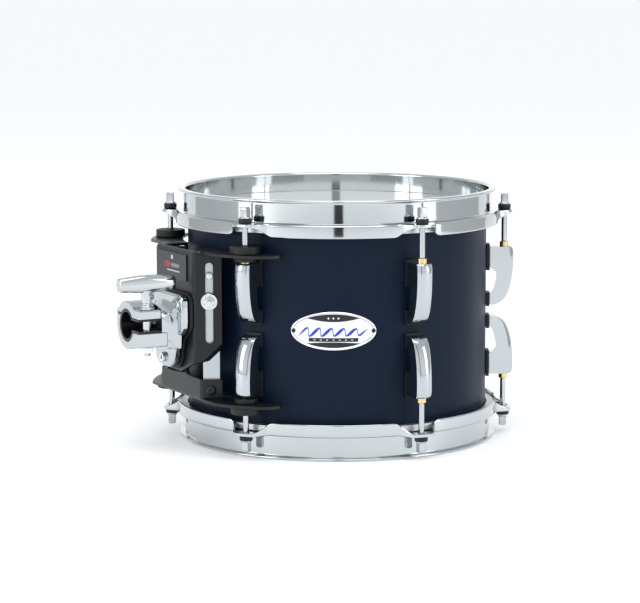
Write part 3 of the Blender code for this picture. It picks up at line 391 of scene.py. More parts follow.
def film():
    finish = Finish("clear_film", (0.94, 0.97, 0.92), 0.0, 0.10, coat_weight=1.0, coat_roughness=0.03)
    haze = finish.noise(30.0, 2.0)
    finish.set("Alpha", haze * 0.06 + 0.80)
    finish.set("Roughness", haze * 0.08 + 0.06)
    return finish.material


LACQUER = lacquer()
MAPLE = maple()
FILM = film()


# %% Paint, rubber and plastic
def textured(name, color, lighter, roughness, scale, depth):
    finish = Finish(name, color, 0.0, roughness, specular_ior_level=0.35)
    grit = finish.noise(scale, 2.0)
    patch = finish.noise(24.0, 2.0)
    finish.set("Base Color", patch.mixed(color, lighter))
    finish.set("Roughness", patch * 0.12 + (roughness - 0.06))
    finish.bump(grit, depth)
    return finish.material


POWDER = textured("black_powder_coat", (0.0035, 0.005, 0.006), (0.006, 0.008, 0.010), 0.36, 900, 0.00003)
OXIDE = textured("black_oxide", (0.004, 0.004, 0.005), (0.012, 0.012, 0.014), 0.3, 500, 0.00001)
RUBBER = textured("black_rubber", (0.004, 0.005, 0.006), (0.009, 0.010, 0.012), 0.5, 420, 0.00005)
PLASTIC = textured("black_nylon", (0.003, 0.003, 0.004), (0.007, 0.007, 0.009), 0.32, 300, 0.00002)
INK_BLUE = textured("badge_blue", (0.012, 0.035, 0.50), (0.02, 0.06, 0.62), 0.3, 200, 0.00001)
INK_BLACK = textured("badge_black", (0.010, 0.011, 0.014), (0.02, 0.021, 0.025), 0.3, 200, 0.00001)
INK_RED = textured("label_red", (0.26, 0.01, 0.035), (0.34, 0.015, 0.05), 0.4, 200, 0.00001)
INK_PALE = textured("label_pale", (0.42, 0.45, 0.47), (0.52, 0.55, 0.57), 0.4, 200, 0.00001)
LABEL = textured("label_plate_dark", (0.014, 0.018, 0.022), (0.020, 0.025, 0.030), 0.3, 300, 0.00001)
print("materials:", len(bpy.data.materials))

# %% [markdown]
# ## Shell
#
# Maple plies bent into a tube, 5 mm thick, with both ends cut to a 45 degree bearing edge that the
# head sits on. One turned profile makes it. The outside is lacquered and the inside is bare wood,
# so the same mesh carries two materials, told apart by which way a face looks.

# %% Make the shell
SHELL_WALL = 5.2 * MM
EDGE_INSET = 1.8 * MM
DRUM_STEPS = 240


def shell():
    crest = SHELL_R - EDGE_INSET
    inside = SHELL_R - SHELL_WALL
    slope = crest - inside
    top, bottom = EDGE_Z, 2 * MIDDLE_Z - EDGE_Z
    profile = [(inside, top - slope), (crest - 0.4 * MM, top - 0.4 * MM)]
    profile += arc(crest, top - 0.35 * MM, 0.35 * MM, 120, 45, 3)
    profile += [(SHELL_R, top - EDGE_INSET), (SHELL_R, bottom + EDGE_INSET)]
    profile += arc(crest, bottom + 0.35 * MM, 0.35 * MM, -45, -120, 3)
    profile += [(crest - 0.4 * MM, bottom + 0.4 * MM), (inside, bottom + slope)]
    mesh = turned(profile, DRUM_STEPS)
    vent_low, vent_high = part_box("air_vent")
    vent = (vent_low + vent_high) / 2
    hole = stacked([(5.9 * MM, -20 * MM), (5.9 * MM, 20 * MM)], 32)
    out = Vector((vent.x, vent.y, 0)).normalized()
    turn = Vector((0, 0, 1)).rotation_difference(out).to_matrix().to_4x4()
    mesh = combined(mesh, [("DIFFERENCE", moved(hole, Matrix.Translation(vent) @ turn))])
    mesh.materials.clear()
    mesh.materials.append(LACQUER)
    mesh.materials.append(MAPLE)
    for face in mesh.polygons:
        radius = math.hypot(face.center.x, face.center.y)
        face.material_index = 0 if radius > SHELL_R - 0.6 * MM else 1
    return place("shell_lacquered", mesh, LACQUER, "drum", "shell_lacquer", None, ["shell"])


print("shell faces:", len(shell().data.polygons))

# %% [markdown]
# ## Hoops
#
# A triple-flanged hoop is one strip of steel rolled three times: a rim turned out over the sticks,
# a band, a step that presses the head down, and a skirt that hides it. Between rods the skirt hangs
# full depth. Near a rod it lifts and the step runs out into a flat ear. The section is a function
# of how far round the hoop it is cut, so the ears grow out of the skirt with no seam.

# %% Make the hoops
SHEET = 2.3 * MM
HOOP_INNER = SHELL_R + 1.6 * MM
RIM_OVERHANG = 4.2 * MM
STEP_Z = -3.1 * MM
SKIRT_DEPTH = 11.0 * MM
SKIRT_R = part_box("batter_flesh_hoop")[1].x + 2.9 * MM
EAR_HALF = 7.4 * MM
EAR_BLEND = 21.5 * MM
LUG_TURNS = [60 * i for i in range(6)]


def hoop_section(reach, depth, full):
    """One cut through the hoop: full is 0 at an ear and 1 at the whole skirt."""
    band = HOOP_INNER + SHEET
    rim = band + RIM_OVERHANG
    lip = SHEET / 2
    drop = min(lip, depth - SHEET)
    bend = (0.7 + 1.7 * full) * MM
    points = arc(rim - lip, RIM_TOP - lip, lip, -90, 90, 6)
    points += arc(HOOP_INNER + 2 * MM, RIM_TOP - 2 * MM, 2 * MM, 90, 180, 5)
    points += arc(HOOP_INNER + 1.2 * MM, STEP_Z - SHEET + 1.2 * MM, 1.2 * MM, 180, 270, 3)
    points.append((reach - SHEET, STEP_Z - SHEET))
    end = STEP_Z - depth + drop
    points += [(reach - lip + a * lip, end + b * drop) for a, b in arc(0, 0, 1, 180, 360, 6)]
    points += arc(reach - bend, STEP_Z - bend, bend, 0, 90, 5)
    points += arc(band + 1.1 * MM, STEP_Z + 1.1 * MM, 1.1 * MM, 270, 180, 3)
    points += arc(band + 1.1 * MM, RIM_TOP - SHEET - 1.1 * MM, 1.1 * MM, 180, 90, 3)
    return points


def hoop():
    rings = []
    steps = 360
    flat = SHEET + 0.3 * MM
    for i in range(steps):
        degrees = 360 * i / steps
        nearest = abs((degrees + 30) % 60 - 30)
        away = math.radians(nearest) * ROD_CIRCLE
        full = smooth((away - EAR_HALF) / (EAR_BLEND - EAR_HALF))
        ear = EAR_TIP - 0.9 * MM * min(away / EAR_HALF, 1) ** 2
        reach = ear + (SKIRT_R - ear) * smooth((away - EAR_HALF) / (EAR_BLEND - 4 * MM - EAR_HALF))
        depth = flat + (SKIRT_DEPTH - flat) * full
        rings.append([polar(r, degrees, z) for r, z in hoop_section(reach, depth, full)])
    ring = loft(rings, True)
    drill = stacked([(3.3 * MM, -14 * MM), (3.3 * MM, 4 * MM)], 24)
    holes = [moved(drill, Matrix.Translation(polar(ROD_CIRCLE, turn))) for turn in LUG_TURNS]
    return combined(ring, [("DIFFERENCE", joined(*holes))])


hoop_shape = hoop()
place("batter_hoop_flanged", hoop_shape, CHROME, "drum", "chrome", None, ["batter_hoop"])
place("resonant_hoop_flanged", hoop_shape, CHROME, "drum", "chrome", END_FLIP, ["resonant_hoop"])
print("hoop faces:", len(hoop_shape.polygons))

# %% [markdown]
# ## Heads
#
# A head is polyester film, heated and pulled over the bearing edge, with its rim set in a narrow
# aluminium channel. The film is drawn as a real skin with two faces, because a single sheet would
# have no edge to catch light where it folds down into the collar.

# %% Make the heads and their flesh hoops
def head():
    crest = SHELL_R - EDGE_INSET
    skin = 0.3 * MM
    wall = SHELL_R + 0.3 * MM
    low = -9.0 * MM
    over = [(20 * MM, 0), (crest - 12 * MM, 0), (crest - 1.5 * MM, 0), (crest + 0.2 * MM, -0.06 * MM)]
    over += [(crest + 1.1 * MM, -0.7 * MM), (wall + skin, -2.2 * MM), (wall + skin, low)]
    under = [(wall, low), (wall, -2.5 * MM), (crest + 0.6 * MM, -1.0 * MM), (crest - 0.2 * MM, -skin)]
    under += [(crest - 12 * MM, -skin), (20 * MM, -skin)]
    return stacked(over + under, DRUM_STEPS)


def flesh_hoop():
    low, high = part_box("batter_flesh_hoop")
    outer, inner = high.x, high.x - 6 * MM
    soft = 1.2 * MM
    profile = arc(outer - soft, high.z - soft, soft, 0, 90, 4)
    profile += [(inner, high.z), (inner, low.z)]
    profile += arc(outer - 0.5 * MM, low.z + 0.5 * MM, 0.5 * MM, 270, 360, 3)
    return turned(profile, DRUM_STEPS)


for end, at in (("batter", Matrix()), ("resonant", END_FLIP)):
    place(f"{end}_head_film", head(), FILM, "drum", "clear_film", at, [f"{end}_head"])
    ring = flesh_hoop()
    slot = "flesh_hoop_aluminium"
    place(f"{end}_flesh_hoop_channel", ring, ALUMINIUM, "drum", slot, at, [f"{end}_flesh_hoop"])

# %% [markdown]
# ## Tension rods
#
# A tension rod is a long screw with a square head, so it can be turned with a drum key. Its thread
# is a helix: on the way down, the radius of each point rises and falls with its height less its
# share of a turn. That is cheaper than cutting a groove, and it winds the right way for free.

# %% Make the rods, washers and swivel nuts
ROD_R = 2.4 * MM
HEAD_SIDE = 6.4 * MM
PITCH = 1.0 * MM
ROD_SIDES = 24


def square_ring(side, z, corner):
    """A square with round corners, with points at the same angles as a circle's."""
    ring = []
    for i in range(ROD_SIDES):
        angle = 2 * math.pi * (i + 0.5) / ROD_SIDES
        c, s = abs(math.cos(angle)), abs(math.sin(angle))
        reach = (c**corner + s**corner) ** (-1 / corner)
        ring.append(Vector((side / 2 * reach * math.cos(angle), side / 2 * reach * math.sin(angle), z)))
    return ring


def thread_ring(z):
    ring = []
    for i in range(ROD_SIDES):
        share = (i + 0.5) / ROD_SIDES
        phase = (z / PITCH - share) % 1
        radius = ROD_R - 0.45 * MM * abs(2 * phase - 1)
        angle = 2 * math.pi * share
        ring.append(Vector((radius * math.cos(angle), radius * math.sin(angle), z)))
    return ring


def rod():
    low, high = rod_low.z, rod_high.z
    seat = high - 9.3 * MM
    thread_top = -29.0 * MM
    rings = [square_ring(2 * ROD_R * 0.7, low, 2)]
    count = int((thread_top - low - 1 * MM) / (PITCH / 4))
    rings += [thread_ring(low + 0.5 * MM + PITCH / 4 * i) for i in range(count)]
    rings += [square_ring(2 * ROD_R, thread_top, 2), square_ring(2 * ROD_R, seat, 2)]
    collar = HEAD_SIDE * 1.36
    rings += [square_ring(collar, seat, 2), square_ring(collar + 0.2 * MM, seat + 0.3 * MM, 2)]
    rings += [square_ring(collar, seat + 0.9 * MM, 2), square_ring(HEAD_SIDE * 0.98, seat + 1.6 * MM, 5)]
    rings += [square_ring(HEAD_SIDE, seat + 2.4 * MM, 9), square_ring(HEAD_SIDE, high - 2.0 * MM, 9)]
    rings += [square_ring(HEAD_SIDE * 0.95, high - 0.9 * MM, 7)]
    rings += [square_ring(HEAD_SIDE * 0.80, high - 0.25 * MM, 5), square_ring(HEAD_SIDE * 0.55, high, 4)]
    return loft(rings)


def collar_ring(inner, outer, low, high, soft, sides=40):
    profile = [(inner, high), (inner, low)]
    profile += arc(outer - soft, low + soft, soft, 270, 360, 3)
    profile += arc(outer - soft, high - soft, soft, 0, 90, 3)
    return turned(profile, sides)


def swivel_nut(low, high):
    """A brass collar with two flats rounded off, above the lug's end."""
    return collar_ring(ROD_R + 0.15 * MM, 3.75 * MM, low, high, 0.5 * MM, 32)


WASHER_LOW = STEP_Z + 0.1 * MM
WASHER_HIGH = rod_high.z - 9.3 * MM - 0.1 * MM
LUG_END_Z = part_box("batter_lug_1")[1].z
rod_shape = rod()
washer_shape = collar_ring(ROD_R + 0.3 * MM, 5.4 * MM, WASHER_LOW, WASHER_HIGH, 0.8 * MM)
tall_nut = swivel_nut(LUG_END_Z - 1 * MM, LUG_END_Z + 4.3 * MM)
short_nut = swivel_nut(LUG_END_Z - 1 * MM, LUG_END_Z + 0.9 * MM)
for i, turn in enumerate(LUG_TURNS, 1):
    spot = Matrix.Translation(polar(ROD_CIRCLE, turn)) @ Matrix.Rotation(math.radians(turn), 4, "Z")
    far = Matrix.Translation((0, 0, 2 * MIDDLE_Z)) @ spot @ Matrix.Rotation(math.pi, 4, "X")
    nut_shape = short_nut if turn in (240, 300) else tall_nut
    for end, at in (("batter", spot), ("resonant", far)):
        name = f"{end}_rod_{i}"
        place(f"{name}_threaded", rod_shape, ROD_STEEL, f"{name}_body", "rod_steel", at, [name])
        place(f"{name}_washer", washer_shape, PLASTIC, "drum", "black_plastic", at)
        place(f"{name}_swivel_nut", nut_shape, BRASS, "drum", "bright_steel", at)
print("rod faces:", len(rod_shape.polygons))

# %% [markdown]
# ## Lugs
#
# Each lug is a hollow casting that bridges two feet on the shell, thick at the end that takes the
# swivel nut and running down to a round toe. Its side view is drawn once as a smooth outline and
# carried across the lug's width, and a bevel gives the soft edges that a polished casting has.

# %% Make the lugs
LUG_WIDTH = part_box("batter_lug_1")[1].x * 2
LUG_DEPTH = 23.3 * MM
LUG_LENGTH = LUG_END_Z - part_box("batter_lug_1")[0].z


def through(points, steps):
    """A smooth line through points, by Catmull and Rom's spline."""
    result = []
    for i in range(len(points) - 1):
        a, b = Vector(points[max(i - 1, 0)]), Vector(points[i])
        c, d = Vector(points[i + 1]), Vector(points[min(i + 2, len(points) - 1)])
        for k in range(steps):
            t = k / steps
            along = 2 * b + (c - a) * t + (2 * a - 5 * b + 4 * c - d) * t * t
            result.append(tuple((along + (3 * b - a - 3 * c + d) * t**3) / 2))
    return [*result, tuple(points[-1])]


def lug():
    face = 3.3 * MM / LUG_DEPTH
    back = [(0.955, -0.02), (0.985, -0.06), (1, -0.155), (0.985, -0.384), (0.92, -0.611), (0.81, -0.79)]
    back += [(0.68, -0.905), (0.495, -0.972), (0.27, -1)]
    hollow = [(0.20, -0.80), (0.24, -0.77), (0.296, -0.688), (0.356, -0.562), (0.373, -0.473)]
    hollow += [(0.326, -0.422), (0.22, -0.375)]
    outline = [(face, 0), (0.90, 0)] + through(back, 4) + [(face, -1), (face, -0.815)]
    outline += through(hollow, 3) + [(face, -0.36)]
    rings = []
    for share in (-1, -0.93, -0.8, -0.6, -0.3, 0, 0.3, 0.6, 0.8, 0.93, 1):
        fall = 1 - 0.17 * abs(share) ** 2.6
        ring = []
        for out, down in outline:
            crowned = face + (out - face) * fall if out > 0.4 else out
            y = -SHELL_R - crowned * LUG_DEPTH
            ring.append((share * LUG_WIDTH / 2, y, LUG_END_Z + down * LUG_LENGTH))
        rings.append(ring)
    block = bevelled(loft(rings), 1.2 * MM, 4, 50)
    bore = stacked([(3.9 * MM, LUG_END_Z - 20 * MM), (3.9 * MM, LUG_END_Z + 5 * MM)], 32)
    return combined(block, [("DIFFERENCE", moved(bore, Matrix.Translation(polar(ROD_CIRCLE, 0))))])


def gasket_foot(low, high):
    """A rubber pad between a lug's foot and the shell, a little wider than the foot."""
    half = LUG_WIDTH / 2 + 0.3 * MM
    rings = []
    for out in (0.15 * MM, 3.0 * MM):
        ring = []
        for x in (-half, -half / 2, 0, half / 2, half):
            sag = SHELL_R - math.sqrt(SHELL_R**2 - x**2) if out < 1 * MM else 0
            ring.append((x, -SHELL_R - out + sag, high))
        ring += [(x, y, low) for x, y, _ in reversed(ring)]
        rings.append(ring)
    return bevelled(loft(rings), 0.5 * MM, 2, 50)


def pan_screw():
    """A screw head inside the shell, with its plain washer."""
    inner = SHELL_R - SHELL_WALL
    levels = [(6.0 * MM, 0.1 * MM), (6.0 * MM, 1.3 * MM), (3.9 * MM, 1.3 * MM), (3.9 * MM, 2.6 * MM)]
    levels += [(3.2 * MM, 3.5 * MM), (2.0 * MM, 3.8 * MM)]
    screw = stacked(levels, 24)
    wide, narrow = 2.6 * MM, 0.6 * MM
    cross = ((narrow, wide), (wide, narrow))
    slots = [bevelled(mesh_of_box(a, b, 3 * MM), 0.1 * MM, 1) for a, b in cross]
    cuts = [moved(slot, Matrix.Translation((0, 0, 5.6 * MM))) for slot in slots]
    screw = combined(screw, [("DIFFERENCE", cut) for cut in cuts])
    face_in = Matrix.Translation((0, -inner, 0)) @ Matrix.Rotation(-math.pi / 2, 4, "X")
    return moved(screw, face_in)


def mesh_of_box(a, b, c):
    corners = [(-a, -b), (a, -b), (a, b), (-a, b)]
    return loft([[(x, y, z) for x, y in corners] for z in (-c, c)])


lug_shape = lug()
foot_drops = ((20.0 * MM, -2.0 * MM), (50.6 * MM, 39.0 * MM))
foot_spans = [(LUG_END_Z - low, LUG_END_Z - high) for low, high in foot_drops]
feet = joined(*[gasket_foot(low, high) for low, high in foot_spans])
screw_shape = pan_screw()
screw_heights = [(low + high) / 2 for low, high in foot_spans]
screws = joined(*[moved(screw_shape, Matrix.Translation((0, 0, z))) for z in screw_heights])
for i, turn in enumerate(LUG_TURNS, 1):
    spot = Matrix.Rotation(math.radians(turn), 4, "Z")
    far = Matrix.Translation((0, 0, 2 * MIDDLE_Z)) @ spot @ Matrix.Rotation(math.pi, 4, "Z")
    far = far @ Matrix.Rotation(math.pi, 4, "X")
    for end, at in (("batter", spot), ("resonant", far)):
        name = f"{end}_lug_{i}"
        place(f"{name}_cast", lug_shape, CAST_CHROME, "drum", "chrome", at, [name])
        place(f"{name}_gaskets", feet, RUBBER, "drum", "black_rubber", at)
        place(f"{name}_screws", screws, BRIGHT, "drum", "bright_steel", at)
print("lug faces:", len(lug_shape.polygons))

# %% [markdown]
# ## Badge and vent
#
# A badge is a thin plate pressed to the drum's curve and pinned at both ends. Everything on it is a
# strip that runs round the shell: each slice has a low and a high edge, and a loft joins the
# slices. Colours are separate thin layers, as they are when a badge is screen printed. The print
# here is plain ornament, with no lettering.

# %% Make the badge
BADGE_TURN = -30.0
BADGE_LENGTH = 69.0 * MM
BADGE_HEIGHT = 31.0 * MM


def badge_point(s, t, out):
    return polar(SHELL_R + out, BADGE_TURN + math.degrees(s / SHELL_R), MIDDLE_Z + t)


def strip(spans, back, front):
    corners = ((1, back), (1, front), (2, front), (2, back))
    return loft([[badge_point(span[0], span[i], out) for i, out in corners] for span in spans])


def oval_half(s, inset):
    a, b = BADGE_LENGTH / 2 - inset, BADGE_HEIGHT / 2 - inset
    return b * math.sqrt(max(0.0, 1 - (s / a) ** 2))


def oval_ring(section):
    rings = []
    for i in range(120):
        turn = 2 * math.pi * i / 120
        ring = []
        for inset, out in section:
            a, b = BADGE_LENGTH / 2 - inset, BADGE_HEIGHT / 2 - inset
            ring.append(badge_point(a * math.cos(turn), b * math.sin(turn), out))
        rings.append(ring)
    return loft(rings, True)


def slices(reach, low, high, steps=36):
    """Slices closer together towards the ends, where an oval turns fastest."""
    spans = []
    for i in range(steps + 1):
        s = -reach * math.cos(math.pi * (0.02 + 0.96 * i / steps))
        bottom, top = low(s), high(s)
        spans.append((s, bottom, max(top, bottom + 0.02 * MM)))
    return spans


def badge():
    layer = {}
    rim = [(0, 0.2 * MM), (0, 0.9 * MM), (0.3 * MM, 1.15 * MM), (1.0 * MM, 1.15 * MM), (1.4 * MM, 0.8 * MM)]
    layer["rim"] = (oval_ring([*rim, (1.4 * MM, 0.2 * MM)]), BADGE_RIM)
    edge = 1.2 * MM
    whole = slices(BADGE_LENGTH / 2 - edge, lambda s: -oval_half(s, edge), lambda s: oval_half(s, edge))
    layer["field"] = (strip(whole, 0.25 * MM, 0.72 * MM), BADGE_FIELD)
    line = [(1.9 * MM, 0.5 * MM), (1.9 * MM, 0.78 * MM), (2.25 * MM, 0.78 * MM), (2.25 * MM, 0.5 * MM)]
    layer["line"] = (oval_ring(line), INK_GREY)
    lens = 21.4 * MM
    over = slices(lens, lambda s: 7.4 * MM + 3.0 * MM * (s / lens) ** 2, lambda s: oval_half(s, 2.0 * MM))
    layer["crown"] = (strip(over, 0.5 * MM, 0.80 * MM), INK_BLACK)
    under = slices(lens, lambda s: -oval_half(s, 2.0 * MM), lambda s: -9.1 * MM - 1.0 * MM * (s / lens) ** 2)
    layer["foot"] = (strip(under, 0.5 * MM, 0.80 * MM), INK_BLACK)
    bar = slices(19.8 * MM, lambda s: -8.6 * MM, lambda s: -5.6 * MM, 12)
    layer["bar"] = (strip(bar, 0.5 * MM, 0.80 * MM), INK_BLACK)
    lozenges = [slices_at(s, 1.1 * MM, -7.1 * MM, 0.35 * MM) for s in range(-15, 16, 5)]
    lozenges += [slices_at(s, 0.9 * MM, 10.3 * MM, 0.9 * MM) for s in (-4, 0, 4)]
    pips = [strip(lozenge, 0.6 * MM, 0.84 * MM) for lozenge in lozenges]
    layer["pips"] = (joined(*pips), BADGE_RIM)
    layer["wave"] = (joined(*waves()), INK_BLUE)
    for key, (mesh, material) in layer.items():
        place(f"badge_{key}", mesh, material, "drum", "badge_silver", None, ["badge"])
    out = Matrix.Rotation(math.pi / 2, 4, "X")
    levels = ((1.8, 0.3), (1.8, 0.9), (1.4, 1.25), (0.6, 1.45))
    dome = stacked([(radius * MM, z * MM) for radius, z in levels], 28)
    for i, side in enumerate((-1, 1), 1):
        s = side * (BADGE_LENGTH / 2 - 2.1 * MM)
        degrees = BADGE_TURN + math.degrees(s / SHELL_R)
        at = Matrix.Translation(polar(SHELL_R, degrees, MIDDLE_Z))
        at = at @ Matrix.Rotation(math.radians(degrees), 4, "Z") @ out
        place(f"badge_pin_{i}", dome, OXIDE, "drum", "badge_silver", at)


def slices_at(middle, half, height, tall):
    """A small lozenge, middle in millimetres along the badge."""
    spans = []
    for share in (-1, -0.5, 0, 0.5, 1):
        reach = tall * (1.02 - abs(share))
        spans.append((middle * MM + share * half, height - reach, height + reach))
    return spans


def waves():
    """One rolling ribbon, thick on the way up and thin on the way down, leaning forward."""
    spans = []
    steps = 240
    for i in range(steps + 1):
        share = i / steps
        phase = 2 * math.pi * 5.5 * share
        middle = 0.4 - (3.4 - 1.0 * share) * math.cos(phase)
        body = 0.22 + 1.25 * (0.5 + 0.5 * math.sin(phase)) ** 1.5
        ends = min(1, 12 * share, 12 * (1 - share))
        spans.append((54 * (share - 0.5), middle - 1.3, body * ends))
    ribbon = []
    for i, (s, t, body) in enumerate(spans):
        a, b = spans[max(i - 1, 0)], spans[min(i + 1, steps)]
        run = Vector((b[0] - a[0], b[1] - a[1])).normalized()
        sides = [(s - run.y * body * k, t + run.x * body * k) for k in (-1, 1)]
        corners = [(s + 0.45 * t, t) for s, t in sides]
        low, high = corners
        ring = [(low, 0.5), (low, 0.82), (high, 0.82), (high, 0.5)]
        ribbon.append([badge_point(x * MM, z * MM, out * MM) for (x, z), out in ring])
    return [loft(ribbon)]


BADGE_FIELD = textured("badge_silver_field", (0.70, 0.74, 0.76), (0.80, 0.84, 0.85), 0.3, 600, 0.00001)
INK_GREY = textured("badge_grey_line", (0.16, 0.17, 0.18), (0.22, 0.23, 0.24), 0.3, 300, 0.00001)
badge()

# %% Make the vent
VENT_TURN = 150


def vent():
    bore, barrel, flange, edge = 4.5 * MM, 5.7 * MM, 8.0 * MM, 1.2 * MM
    profile = [(bore, 1.4 * MM), (bore + 0.4 * MM, 1.9 * MM)]
    profile += arc(flange - edge, 0.5 * MM, edge, 80, 0, 5)
    profile += [(flange, 0.25 * MM), (barrel, 0.25 * MM), (barrel, -SHELL_WALL - 0.4 * MM)]
    profile += [(barrel + 0.8 * MM, -SHELL_WALL - 1.0 * MM), (bore, -SHELL_WALL - 1.6 * MM)]
    at = Matrix.Translation(polar(SHELL_R, VENT_TURN, MIDDLE_Z))
    turn = Matrix.Rotation(math.radians(VENT_TURN), 4, "Z") @ Matrix.Rotation(math.pi / 2, 4, "X")
    place("air_vent_grommet", turned(profile, 48), CHROME, "drum", "chrome", at @ turn, ["air_vent"])


vent()

# %% [markdown]
# ## Mount brackets
#
# Two bent steel brackets hang on the rods of the two lugs beside the clamp, so nothing is screwed
# to the shell and it rings freely. Their plan and their bends are already right in the frame. A
# copy of each frame solid is cleaned of its flat-face edges and given small rounded edges, as
# pressed and powder-coated sheet has.

# %% Soften the brackets
def soft_copy(node, width, segments=2, angle=35):
    mesh = frame["nodes"][node].data.copy()
    shape = bmesh.new()
    shape.from_mesh(mesh)
    bmesh.ops.remove_doubles(shape, verts=shape.verts, dist=0.002 * MM)
    bmesh.ops.dissolve_limit(shape, angle_limit=math.radians(1), verts=shape.verts, edges=shape.edges)
    shape.to_mesh(mesh)
    shape.free()
    mesh.materials.clear()
    return bevelled(mesh, width, segments, angle)


for name in ("mount_upper_bracket", "mount_lower_bracket"):
    place(f"{name}_coated", soft_copy(name, 0.5 * MM), POWDER, "drum", "black_steel", None, [name])
for i in (1, 2):
    bar = soft_copy(f"slide_bar_{i}", 0.3 * MM)
    place(f"slide_bar_{i}_plated", bar, ZINC, "drum", "zinc_steel", None, [f"slide_bar_{i}"])

# %% [markdown]
# ## Screws, pins and rubber
#
# Small hardware is turned, so each piece is a profile spun round its own axis and then stood on the
# surface it serves. A hexagon is a ring whose radius follows six flats, which keeps the same number
# of points as the round part below it. The rubber spools carry the brackets on the rods.

# %% Make the mount's hardware
FINE = 48
WING_SPLAY = math.radians(26)
FRONT_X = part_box("mount_upper_bracket")[0].x
WING_RUN = Vector((math.cos(WING_SPLAY), -math.sin(WING_SPLAY), 0))
WING_OUT = Vector((-math.sin(WING_SPLAY), -math.cos(WING_SPLAY), 0))
HALF_WIDTH = 36.0 * MM
SLOT_INSET = 12.9 * MM


def wing_frame(along, z, side):
    """Stands a piece on a wing's outer face, on the -Y or the +Y side."""
    at = Vector((FRONT_X, -HALF_WIDTH, z)) + WING_RUN * along
    turn = Vector((0, 0, 1)).rotation_difference(WING_OUT).to_matrix().to_4x4()
    matrix = Matrix.Translation(at) @ turn
    if side > 0:
        matrix = Matrix.Scale(-1, 4, (0, 1, 0)) @ matrix @ Matrix.Scale(-1, 4, (1, 0, 0))
    return matrix


def ring_at(radius, z, flats=False):
    """A circle, or a hexagon whose flats are that far from the middle."""
    points = []
    for i in range(FINE):
        degrees = 360 * i / FINE
        reach = radius / math.cos(math.radians((degrees + 30) % 60 - 30)) if flats else radius
        points.append(polar(reach, degrees, z))
    return points


def turned_stack(*levels):
    """Levels of radius and height, in millimetres, with True for a hexagon."""
    return loft([ring_at(level[0] * MM, level[1] * MM, len(level) > 2) for level in levels])


def slot_bolt():
    washer = [(2.2, -5.2), (2.2, 0.3), (6.5, 0.3), (6.8, 0.6), (6.8, 1.3), (6.5, 1.6)]
    nut = [(4.1, 1.6), (3.7, 1.6, True), (3.7, 4.0, True), (3.7, 4.4)]
    return turned_stack(*washer, *nut, (2.2, 4.5), (2.2, 6.4), (1.9, 6.9), (1.2, 7.2))


def guide_pin():
    return turned_stack((1.6, -5.2), (1.6, -2.4), (2.75, -2.4), (2.75, 0.2), (2.4, 0.7), (1.4, 1.0))


def button_screw():
    head = [(2.5, -5.2), (2.5, 0.3), (3.9, 0.3), (4.1, 0.6), (4.0, 1.2), (3.6, 1.8), (3.0, 2.2), (2.3, 2.4)]
    return turned_stack(*head, (1.75, 2.4), (1.5, 2.2, True), (1.5, 0.9, True))


def grommet():
    cap_low = -26.9
    bore = ROD_R + 0.6 * MM
    profile = [(bore, -33.5 * MM), (bore, -20.8 * MM), (3.6 * MM, -20.8 * MM), (4.4 * MM, -21.2 * MM)]
    profile += arc(12.3 * MM - 1.1 * MM, (cap_low + 5.9) * MM - 1.1 * MM, 1.1 * MM, 90, 0, 5)
    profile += arc(12.3 * MM - 0.5 * MM, cap_low * MM + 0.5 * MM, 0.5 * MM, 0, -90, 3)
    profile += [(7.4 * MM, cap_low * MM), (7.4 * MM, -29.9 * MM)]
    profile += arc(9.2 * MM - 0.6 * MM, -30.5 * MM, 0.6 * MM, 90, 0, 3)
    profile += arc(9.2 * MM - 0.9 * MM, -32.6 * MM, 0.9 * MM, 0, -90, 4)
    return turned(profile, FINE)


BAND_SCREW_Z = 2 * MIDDLE_Z + 27.2 * MM + 9.6 * MM
pieces_on_wings = (
    ("slot_bolt", slot_bolt(), BRIGHT, "bright_steel", SLOT_INSET, -68.3 * MM),
    ("guide_pin", guide_pin(), BRIGHT, "bright_steel", SLOT_INSET, -47.2 * MM),
    ("band_screw", button_screw(), OXIDE, "black_oxide", SLOT_INSET + 1 * MM, BAND_SCREW_Z),
)
for i, side in enumerate((-1, 1), 1):
    for name, mesh, material, slot, along, z in pieces_on_wings:
        at = wing_frame(along, z, side)
        place(f"{name}_{i}_turned", mesh, material, "drum", slot, at, [f"{name}_{i}"])
    rod_spot = Matrix.Translation(polar(ROD_CIRCLE, -90 - 30 * side))
    far_spot = Matrix.Translation((0, 0, 2 * MIDDLE_Z)) @ rod_spot @ Matrix.Rotation(math.pi, 4, "X")
    for end, at in (("upper", rod_spot), ("lower", far_spot)):
        name = f"{end}_grommet_{i}"
        place(f"{name}_moulded", grommet(), RUBBER, "drum", "black_rubber", at, [name])
print("mount hardware placed on", len(pieces_on_wings), "kinds of seat")

# %% [markdown]
# ## Clamp casting
#
# The clamp is one die casting: a shield-shaped base, a waisted neck, and the fixed half of a split
# ring. Each part is a closed shape made on its own and softened first, because a bevel works best
# on a simple shape, and Booleans join and bore them afterwards. The bores come last so that their
# edges stay crisp, as machined ones are.

# %% Tools and sizes for the clamp
CLAMP_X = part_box("clamp_sleeve")[0].x
BASE_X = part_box("clamp_casting")[1].x
BASE_FACE_X = BASE_X - 6.8 * MM
JAW_BACK_X = CLAMP_X + 19.5 * MM
CLAMP_BORE = 13.6 * MM
HINGE_Y, HINGE_Z, SLIT = 20.6 * MM, 8.4 * MM, 1.9 * MM
BOLT_X, BOLT_Y = CLAMP_X + 9.8 * MM, -18.0 * MM
LUG_REACH = 25.0 * MM
CLAMP_R = 20.0 * MM


def along_x(outline, start, end):
    """A prism along X of an outline in Y and Z about the tube's axis."""
    return loft([[(x, y, MIDDLE_Z + z) for y, z in outline] for x in (start, end)])


def round_x(radius, y, z, start, end, sides=FINE):
    return along_x(arc(y, z, radius, 0, 360 - 360 / sides, sides - 1), start, end)


